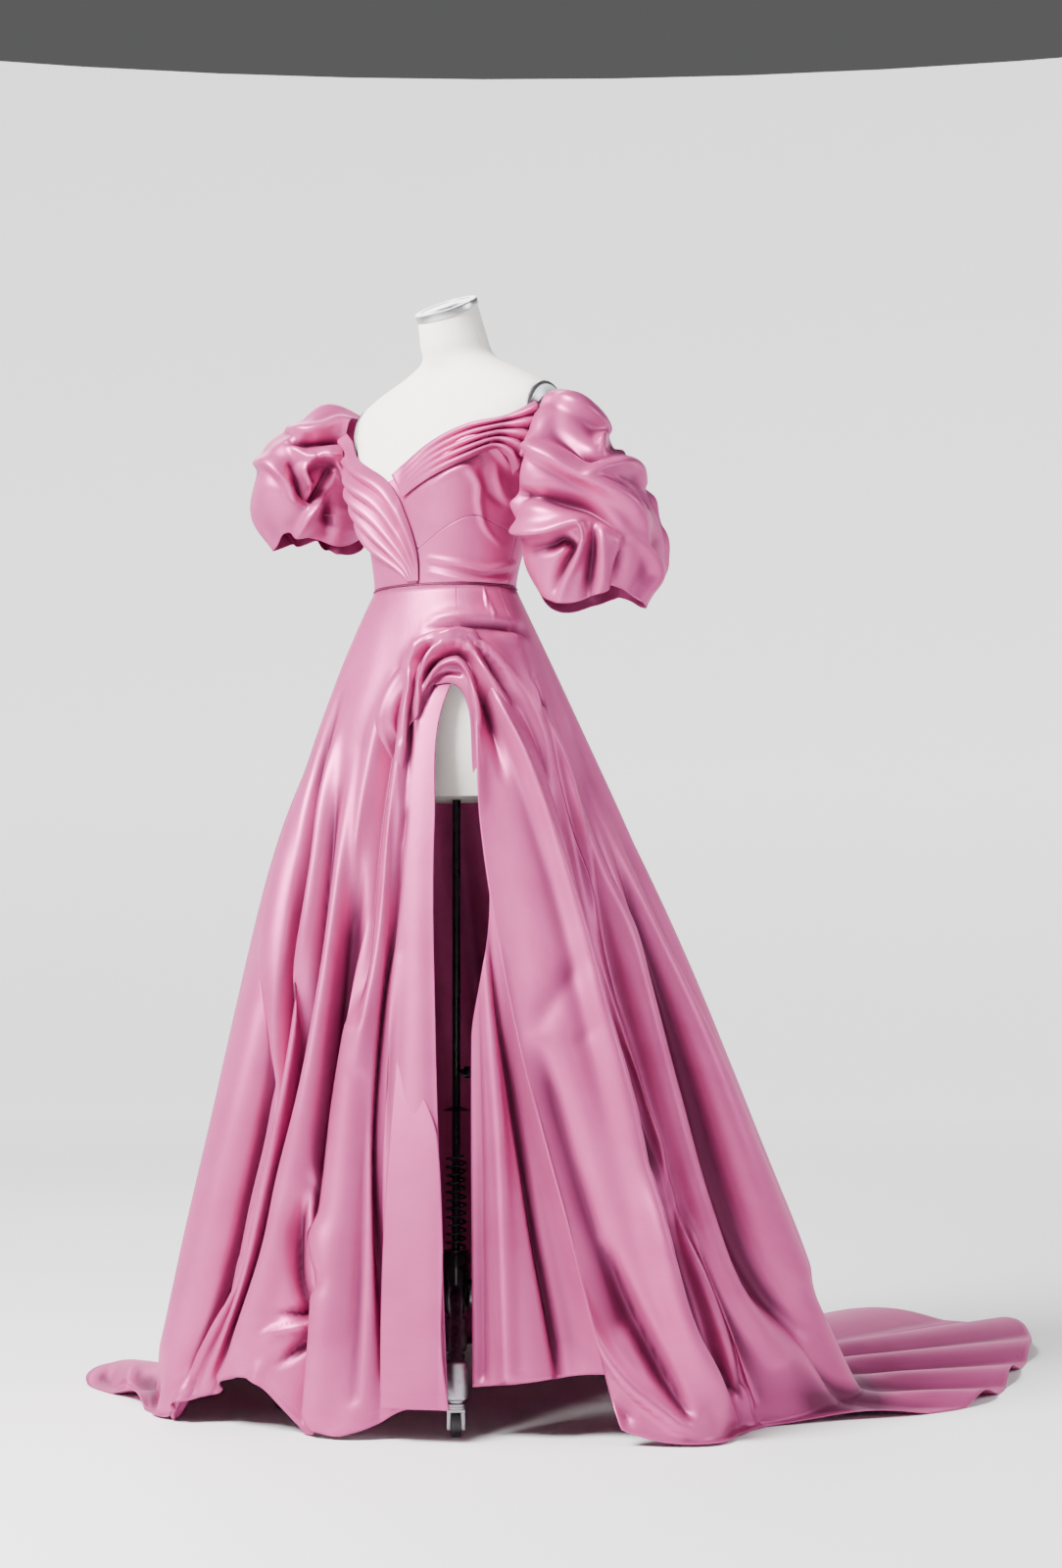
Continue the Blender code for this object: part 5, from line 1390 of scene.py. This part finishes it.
LINEN = grained_finish("cream_linen", (0.87, 0.84, 0.79), (0.83, 0.80, 0.74), 0.85, 0.0,
                       60, (1, 1, 1), 0.0002)
ALUMINIUM = grained_finish("brushed_aluminium", (0.62, 0.62, 0.64), (0.50, 0.50, 0.52), 0.30,
                           1.0, 30, (1, 1, 9), 0.00008)
BLACK = grained_finish("black_enamel", (0.012, 0.011, 0.013), (0.022, 0.020, 0.023), 0.18, 0.0,
                       40, (1, 1, 1), 0.00003)
CAST = grained_finish("cast_aluminium", (0.42, 0.41, 0.44), (0.24, 0.22, 0.25), 0.38, 1.0,
                      55, (1, 1, 1), 0.0003)
TYRE = grained_finish("castor_rubber", (0.030, 0.029, 0.031), (0.055, 0.052, 0.055), 0.55, 0.0,
                      60, (1, 1, 1), 0.0001)

# %% [markdown]
# Two helpers do most of the modelling. One turns a profile, as on a lathe. The other puts a
# finished shape in its place by moving its mesh, so that every object stays at the origin.

# %% Helpers for hard pieces
UPRIGHT = Matrix.Identity(4)
PART_GAP = 0.0003
TURNED_SIDES = 48


def direction(angle):
    """The level way out from the pole at this angle, in degrees from the front."""
    turn = math.radians(angle)
    return Vector((math.sin(turn), -math.cos(turn), 0))


def closed_up(sharp):
    """Turn every face outward and smooth the shape in hand, but for edges this sharp."""
    bpy.ops.object.mode_set(mode="EDIT")
    bpy.ops.mesh.select_all(action="SELECT")
    bpy.ops.mesh.normals_make_consistent(inside=False)
    bpy.ops.object.mode_set(mode="OBJECT")
    bpy.ops.object.shade_smooth_by_angle(angle=math.radians(sharp))


def turned(name, profile, sides=TURNED_SIDES, sharp=32):
    """Draw a circle out along a profile of (radius, height) steps from the bottom up."""
    bpy.ops.object.select_all(action="DESELECT")
    radius, height = profile[0]
    bpy.ops.mesh.primitive_circle_add(vertices=sides, radius=radius, fill_type="NGON",
                                      location=(0, 0, height))
    thing = bpy.context.object
    thing.name = name
    bpy.ops.object.transform_apply(location=True, rotation=False, scale=False)
    bpy.ops.object.mode_set(mode="EDIT")
    bpy.ops.mesh.select_all(action="SELECT")
    for wider, higher in profile[1:]:
        bpy.ops.mesh.extrude_region_move(TRANSFORM_OT_translate={"value": (0, 0, higher - height)})
        grow = wider / radius
        bpy.ops.transform.resize(value=(grow, grow, 1), center_override=(0, 0, higher))
        radius, height = wider, higher
    closed_up(sharp)
    return thing


def block(name, size, round_off, segments=3):
    """A box with rounded edges."""
    bpy.ops.object.select_all(action="DESELECT")
    bpy.ops.mesh.primitive_cube_add(size=1, location=(0, 0, 0))
    thing = bpy.context.object
    thing.name = name
    thing.scale = size
    bpy.ops.object.transform_apply(location=False, rotation=False, scale=True)
    bevel = thing.modifiers.new("round", "BEVEL")
    bevel.width = round_off
    bevel.segments = segments
    bpy.ops.object.modifier_apply(modifier=bevel.name)
    bpy.ops.object.shade_smooth_by_angle(angle=math.radians(40))
    return thing


def joined(name, *things):
    """Several shapes made into one object."""
    bpy.ops.object.select_all(action="DESELECT")
    for thing in things:
        thing.select_set(True)
    bpy.context.view_layer.objects.active = things[0]
    bpy.ops.object.join()
    things[0].name = name
    return things[0]


def copy_of(thing, name):
    """A copy with its own mesh."""
    copy = thing.copy()
    copy.data = thing.data.copy()
    copy.name = name
    bpy.context.scene.collection.objects.link(copy)
    return copy


def placed(thing, place, look, node, body="stand"):
    """Put a shape in its place through its mesh, finish it and let it stand for its node."""
    thing.data.transform(Matrix.Translation(axis) @ place)
    thing.data.materials.clear()
    thing.data.materials.append(look)
    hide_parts(node)
    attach(thing, body)
    print(thing.name, "stands for", node)


# %% [markdown]
# The form is a smooth padded body under linen. A fine grid is wrapped round its sections and
# closed below and at the neck. Shallow grooves mark where the linen's panels are sewn.

# %% Model the form
FORM_COLUMNS = 180
FORM_SEAMS = (0.0, 34.0, 90.0, 146.0, 180.0, 214.0, 270.0, 326.0)
SEAM_DEPTH = 0.0005
SEAM_WIDTH = 0.7
turns = np.arange(FORM_COLUMNS) * 360 / FORM_COLUMNS
levels = np.linspace(TORSO["height"][0], TORSO["height"][-1], 110)
rings = []
for level in levels:
    across, deep = torso_ring(level + 0 * turns, turns, bust(turns, level))
    lean = math.radians(float(smooth(TORSO, "lean", "height", level)))
    middle = float(smooth(TORSO, "centre_y", "height", level))
    up = level + (deep - middle) * math.sin(lean)
    ring = np.stack([across, middle + (deep - middle) * math.cos(lean), up], axis=-1)
    nearest = np.min([np.abs((turns - seam + 180) % 360 - 180) for seam in FORM_SEAMS], axis=0)
    inward = SEAM_DEPTH * np.exp(-(nearest / SEAM_WIDTH) ** 2)
    away = ring - ring.mean(axis=0)
    rings.append(ring - away / np.linalg.norm(away, axis=-1, keepdims=True) * inward[:, None])
count = FORM_COLUMNS
faces = [list(range(count))[::-1], list(range(len(rings) * count - count, len(rings) * count))]
for low in range(len(rings) - 1):
    for here in range(count):
        there = (here + 1) % count
        faces.append([low * count + here, low * count + there,
                      (low + 1) * count + there, (low + 1) * count + here])
body_mesh = bpy.data.meshes.new("form_body")
body_mesh.from_pydata(np.concatenate(rings).tolist(), [], faces)
body = bpy.data.objects.new("form_body", body_mesh)
bpy.context.scene.collection.objects.link(body)
bpy.ops.object.select_all(action="DESELECT")
body.select_set(True)
bpy.context.view_layer.objects.active = body
closed_up(sharp=45)
placed(body, UPRIGHT, LINEN, "form_torso")
print("form faces:", len(body.data.polygons))

# %% [markdown]
# The neck is capped by a thick aluminium disc with a sunk top and a small boss. The arm
# openings carry oval plates, stepped like a saucer.

# %% Model the neck cap and the arm plates
NECK_TOP_Z = 1.728
NECK_LEAN = 27.0
PLATE_HALF_HEIGHT, PLATE_HALF_WIDTH = 0.064, 0.050
PLATE_Y, PLATE_Z = 0.004, 1.538
cap = turned("neck_disc", (
    (0.0500, 0.0), (0.0512, 0.0006), (0.0515, 0.0016), (0.0515, 0.0104), (0.0511, 0.0114),
    (0.0500, 0.0120), (0.0420, 0.0120), (0.0412, 0.0113), (0.0200, 0.0113), (0.0190, 0.0118),
    (0.0060, 0.0118)), sides=96)
lean = math.radians(NECK_LEAN)
neck_foot = Vector((0, TORSO["centre_y"][-1] - math.sin(lean) * PART_GAP,
                    NECK_TOP_Z + math.cos(lean) * PART_GAP))
placed(cap, Matrix.Translation(neck_foot) @ Matrix.Rotation(lean, 4, "X"), ALUMINIUM,
       "neck_cap")

plate = turned("arm_plate_shape", (
    (0.98, 0.0), (1.0, 0.0006), (1.0, 0.0034), (0.985, 0.0040), (0.94, 0.0046), (0.93, 0.0064),
    (0.90, 0.0066), (0.64, 0.0066), (0.62, 0.0072), (0.60, 0.0084), (0.55, 0.0089),
    (0.20, 0.0090)),
    sides=96, sharp=25)
for side, name in ((1, "arm_plate_left"), (-1, "arm_plate_right")):
    oval = Matrix.Diagonal((PLATE_HALF_HEIGHT, PLATE_HALF_WIDTH, 1, 1))
    spot = Matrix.Translation((side * (ARM_FLAT_X + PART_GAP), PLATE_Y, PLATE_Z))
    sideways_up = Matrix.Rotation(side * math.pi / 2, 4, "Y")
    placed(copy_of(plate, name + "_disc"), spot @ sideways_up @ oval, ALUMINIUM, name)
bpy.data.objects.remove(plate)

# %% [markdown]
# The column is a polished black pole with a lock collar, a height knob, a return spring on its
# seat and the hub below. They are shown at the height where the gown was fitted.

# %% Model the column
POLE_RADIUS = 0.0065
HUB_RADIUS = 0.0215
KNOB_ANGLE, KNOB_Z = 104.0, 0.526
placed(turned("column_pole", (
    (0.0060, 0.2494), (0.0065, 0.2500), (0.0065, 0.5180), (0.0064, 0.5184), (0.0064, 0.5190),
    (0.0065, 0.5194), (0.0065, 0.9541), (0.0060, 0.9547))), UPRIGHT, BLACK, "pole")
collar = turned("collar_ring", (
    (0.0235, 0.4660), (0.0245, 0.4668), (0.0245, 0.4712), (0.0235, 0.4720), (0.0120, 0.4720),
    (0.0068, 0.4720)))
bpy.ops.object.mode_set(mode="EDIT")
bpy.ops.mesh.select_all(action="DESELECT")
bpy.ops.object.mode_set(mode="OBJECT")
for face in collar.data.polygons:
    face.select = abs(face.normal.z) > 0.99 and len(face.vertices) > 4
bpy.ops.object.mode_set(mode="EDIT")
bpy.ops.mesh.delete(type="FACE")
bpy.ops.mesh.select_all(action="SELECT")
bpy.ops.mesh.select_non_manifold()
bpy.ops.object.mode_set(mode="OBJECT")
rims = {frozenset(edge.vertices) for edge in collar.data.edges if edge.select}
print("open rims on the collar:", len(rims) // TURNED_SIDES)
bpy.ops.object.mode_set(mode="EDIT")
bpy.ops.mesh.bridge_edge_loops()
closed_up(sharp=32)
placed(collar, UPRIGHT, BLACK, "lock_collar")

knob = turned("knob_shape", (
    (0.0045, 0.0), (0.0045, 0.0078), (0.0070, 0.0088), (0.0095, 0.0102), (0.0095, 0.0190),
    (0.0088, 0.0204), (0.0070, 0.0210), (0.0030, 0.0210)), sides=40)
outward = direction(KNOB_ANGLE)
knob_spot = Matrix.Translation(outward * (POLE_RADIUS + PART_GAP) + Vector((0, 0, KNOB_Z)))
knob_facing = outward.to_track_quat("Z", "Y").to_matrix().to_4x4()
placed(knob, knob_spot @ knob_facing, BLACK, "height_knob")

placed(turned("spring_cup", (
    (0.0190, 0.2452), (0.0205, 0.2458), (0.0205, 0.2484), (0.0195, 0.2491), (0.0090, 0.2491))),
    UPRIGHT, BLACK, "spring_seat")
placed(turned("hub_barrel", (
    (0.0165, 0.1500), (0.0175, 0.1508), (0.0200, 0.1720), (0.0215, 0.1800), (0.0215, 0.2230),
    (0.0207, 0.2238), (0.0207, 0.2250), (0.0215, 0.2258), (0.0215, 0.2410), (0.0200, 0.2438),
    (0.0185, 0.2450))), UPRIGHT, BLACK, "hub")

SPRING_TURNS = 11
SPRING_STEPS = 24
SPRING_LOW, SPRING_HIGH = 0.2510, 0.3950
bpy.ops.object.select_all(action="DESELECT")
bpy.ops.mesh.primitive_circle_add(vertices=8, radius=0.0019, location=(0.0150, 0, SPRING_LOW),
                                  rotation=(math.pi / 2, 0, 0))
coil = bpy.context.object
coil.name = "return_spring"
bpy.ops.object.transform_apply(location=True, rotation=True, scale=False)
screw = coil.modifiers.new("coil", "SCREW")
screw.screw_offset = (SPRING_HIGH - SPRING_LOW) / SPRING_TURNS
screw.iterations = SPRING_TURNS
screw.steps = SPRING_STEPS
screw.render_steps = SPRING_STEPS
bpy.ops.object.modifier_apply(modifier=screw.name)
bpy.ops.object.mode_set(mode="EDIT")
bpy.ops.mesh.select_all(action="DESELECT")
bpy.ops.mesh.select_non_manifold()
bpy.ops.mesh.fill_holes(sides=0)
closed_up(sharp=50)
placed(coil, UPRIGHT, BLACK, "spring")

STAND_ANGLE = 42.0
PEDAL_ANGLE = STAND_ANGLE + 45.0
PEDAL_Z = 0.200
LEVER_HALF_LENGTH = 0.030
lever = block("lever_shape", (0.016, 2 * LEVER_HALF_LENGTH, 0.008), 0.003)
tread = block("tread_shape", (0.0155, 0.018, 0.0099), 0.002)
tread.data.transform(Matrix.Translation((0, -0.0208, 0)))
lever = joined("foot_lever", lever, tread)
pedal_reach = HUB_RADIUS + LEVER_HALF_LENGTH + PART_GAP
pedal_spot = Matrix.Translation(direction(PEDAL_ANGLE) * pedal_reach + Vector((0, 0, PEDAL_Z)))
pedal_facing = Matrix.Rotation(math.radians(PEDAL_ANGLE), 4, "Z")
placed(lever, pedal_spot @ pedal_facing, BLACK, "pedal")

# %% [markdown]
# One cast leg and one castor are modelled, then copied round the hub with meshes of their
# own. A castor's housing and leg stay with the stand, its fork turns with the castor and its
# wheel turns in the fork.

# %% Model the legs and the castors
LEG_STEPS = (
    (0.0217, 0.1760, 0.0110, 0.0180), (0.0280, 0.1758, 0.0108, 0.0176),
    (0.0400, 0.1744, 0.0104, 0.0166), (0.0600, 0.1700, 0.0100, 0.0150),
    (0.0900, 0.1608, 0.0095, 0.0136), (0.1300, 0.1480, 0.0090, 0.0120),
    (0.1700, 0.1336, 0.0088, 0.0113), (0.2100, 0.1180, 0.0090, 0.0110),
    (0.2350, 0.1062, 0.0094, 0.0110), (0.2515, 0.0980, 0.0100, 0.0110),
)
bpy.ops.object.select_all(action="DESELECT")
bpy.ops.mesh.primitive_circle_add(vertices=28, radius=1, fill_type="NGON",
                                  rotation=(0, math.pi / 2, 0))
leg = bpy.context.object
bpy.ops.object.transform_apply(location=False, rotation=True, scale=False)
reach, height, wide, tall = LEG_STEPS[0]
leg.data.transform(Matrix.Translation((reach, 0, height)) @ Matrix.Diagonal((1, wide, tall, 1)))
bpy.ops.object.mode_set(mode="EDIT")
bpy.ops.mesh.select_all(action="SELECT")
for next_reach, next_height, next_wide, next_tall in LEG_STEPS[1:]:
    step = (next_reach - reach, 0, next_height - height)
    bpy.ops.mesh.extrude_region_move(TRANSFORM_OT_translate={"value": step})
    bpy.ops.transform.resize(value=(1, next_wide / wide, next_tall / tall),
                             center_override=(next_reach, 0, next_height))
    reach, height, wide, tall = next_reach, next_height, next_wide, next_tall
closed_up(sharp=40)

housing = turned("housing_shape", (
    (0.0140, 0.0425), (0.0150, 0.0428), (0.0150, 0.0448), (0.0138, 0.0454), (0.0138, 0.0462),
    (0.0150, 0.0468), (0.0150, 0.0492), (0.0130, 0.0500), (0.0118, 0.0520), (0.0120, 0.0540),
    (0.0160, 0.0556), (0.0174, 0.0576), (0.0180, 0.0610), (0.0180, 0.1060), (0.0172, 0.1092),
    (0.0150, 0.1112), (0.0120, 0.1120)), sides=48, sharp=28)

bridge = block("bridge_shape", (0.0270, 0.0180, 0.0052), 0.0012)
bridge.data.transform(Matrix.Translation((0, 0, 0.0394)))
cheeks = []
for side in (-1, 1):
    cheek = block("cheek_shape", (0.0060, 0.0170, 0.0300), 0.0012)
    cheek.data.transform(Matrix.Translation((side * 0.01045, 0, 0.0262)))
    cheeks.append(cheek)
fork = joined("fork_shape", bridge, *cheeks)

tyre = turned("wheel_shape", (
    (0.0030, -0.0068), (0.0045, -0.0068), (0.0046, -0.0052), (0.0120, -0.0050), (0.0124, -0.0068),
    (0.0166, -0.0069), (0.0176, -0.0060), (0.0178, -0.0040), (0.0178, 0.0040), (0.0176, 0.0060),
    (0.0166, 0.0069), (0.0124, 0.0068), (0.0120, 0.0050), (0.0046, 0.0052), (0.0045, 0.0068),
    (0.0030, 0.0068)), sides=48, sharp=35)

CASTOR_REACH = 0.27
CASTOR_TRAIL = 0.004
WHEEL_RADIUS = 0.018
WHEEL_FLATS = 20
wheel_rise = WHEEL_RADIUS * math.cos(math.pi / WHEEL_FLATS)
for i in range(4):
    number = str(i + 1)
    turn = math.radians(STAND_ANGLE + i * 90.0)
    out = direction(STAND_ANGLE + i * 90.0)
    foot = Matrix.Translation(out * CASTOR_REACH)
    round_hub = Matrix.Rotation(turn, 4, "Z")
    facing_out = Matrix.Rotation(turn - math.pi / 2, 4, "Z")
    placed(copy_of(leg, "cast_leg_" + number), facing_out, CAST, "leg_" + number)
    placed(copy_of(housing, "castor_housing_" + number), foot, CAST, "castor_stem_" + number)
    placed(copy_of(fork, "fork_" + number), foot @ round_hub, CAST, "castor_fork_" + number,
           "castor_" + number)
    centre = Matrix.Translation(out * (CASTOR_REACH - CASTOR_TRAIL) + Vector((0, 0, wheel_rise)))
    on_axle = Matrix.Rotation(math.pi / 2, 4, "Y")
    placed(copy_of(tyre, "wheel_tread_" + number), centre @ round_hub @ on_axle, TYRE,
           "castor_wheel_" + number, "wheel_" + number)
for thing in (leg, housing, fork, tyre):
    bpy.data.objects.remove(thing)

# %% [markdown]
# The waist seam is piped: a thin cord, covered in the same satin, sewn in between the bodice
# and the skirt.

# %% Lay the piping round the waist
PIPING_RADIUS = 0.0015
PIPING_HEIGHT = 1.2832
bpy.ops.object.select_all(action="DESELECT")
bpy.ops.mesh.primitive_torus_add(major_segments=220, minor_segments=10, major_radius=1.0,
                                 minor_radius=PIPING_RADIUS)
piping = bpy.context.object
piping.name = "waist_piping_cord"
for vertex in piping.data.vertices:
    turn = math.atan2(vertex.co.x, -vertex.co.y)
    beyond = math.hypot(vertex.co.x, vertex.co.y) - 1
    vertex.co.x = (WAIST_HALF_WIDTH + beyond) * math.sin(turn)
    vertex.co.y = WAIST_CENTRE_Y - (WAIST_HALF_DEPTH + beyond) * math.cos(turn)
bpy.ops.object.shade_smooth()
# The cord has no fold height, so the satin paints all of it in its painted hollow shade.
placed(piping, Matrix.Translation((0, 0, PIPING_HEIGHT)), SATIN, "waist_piping")
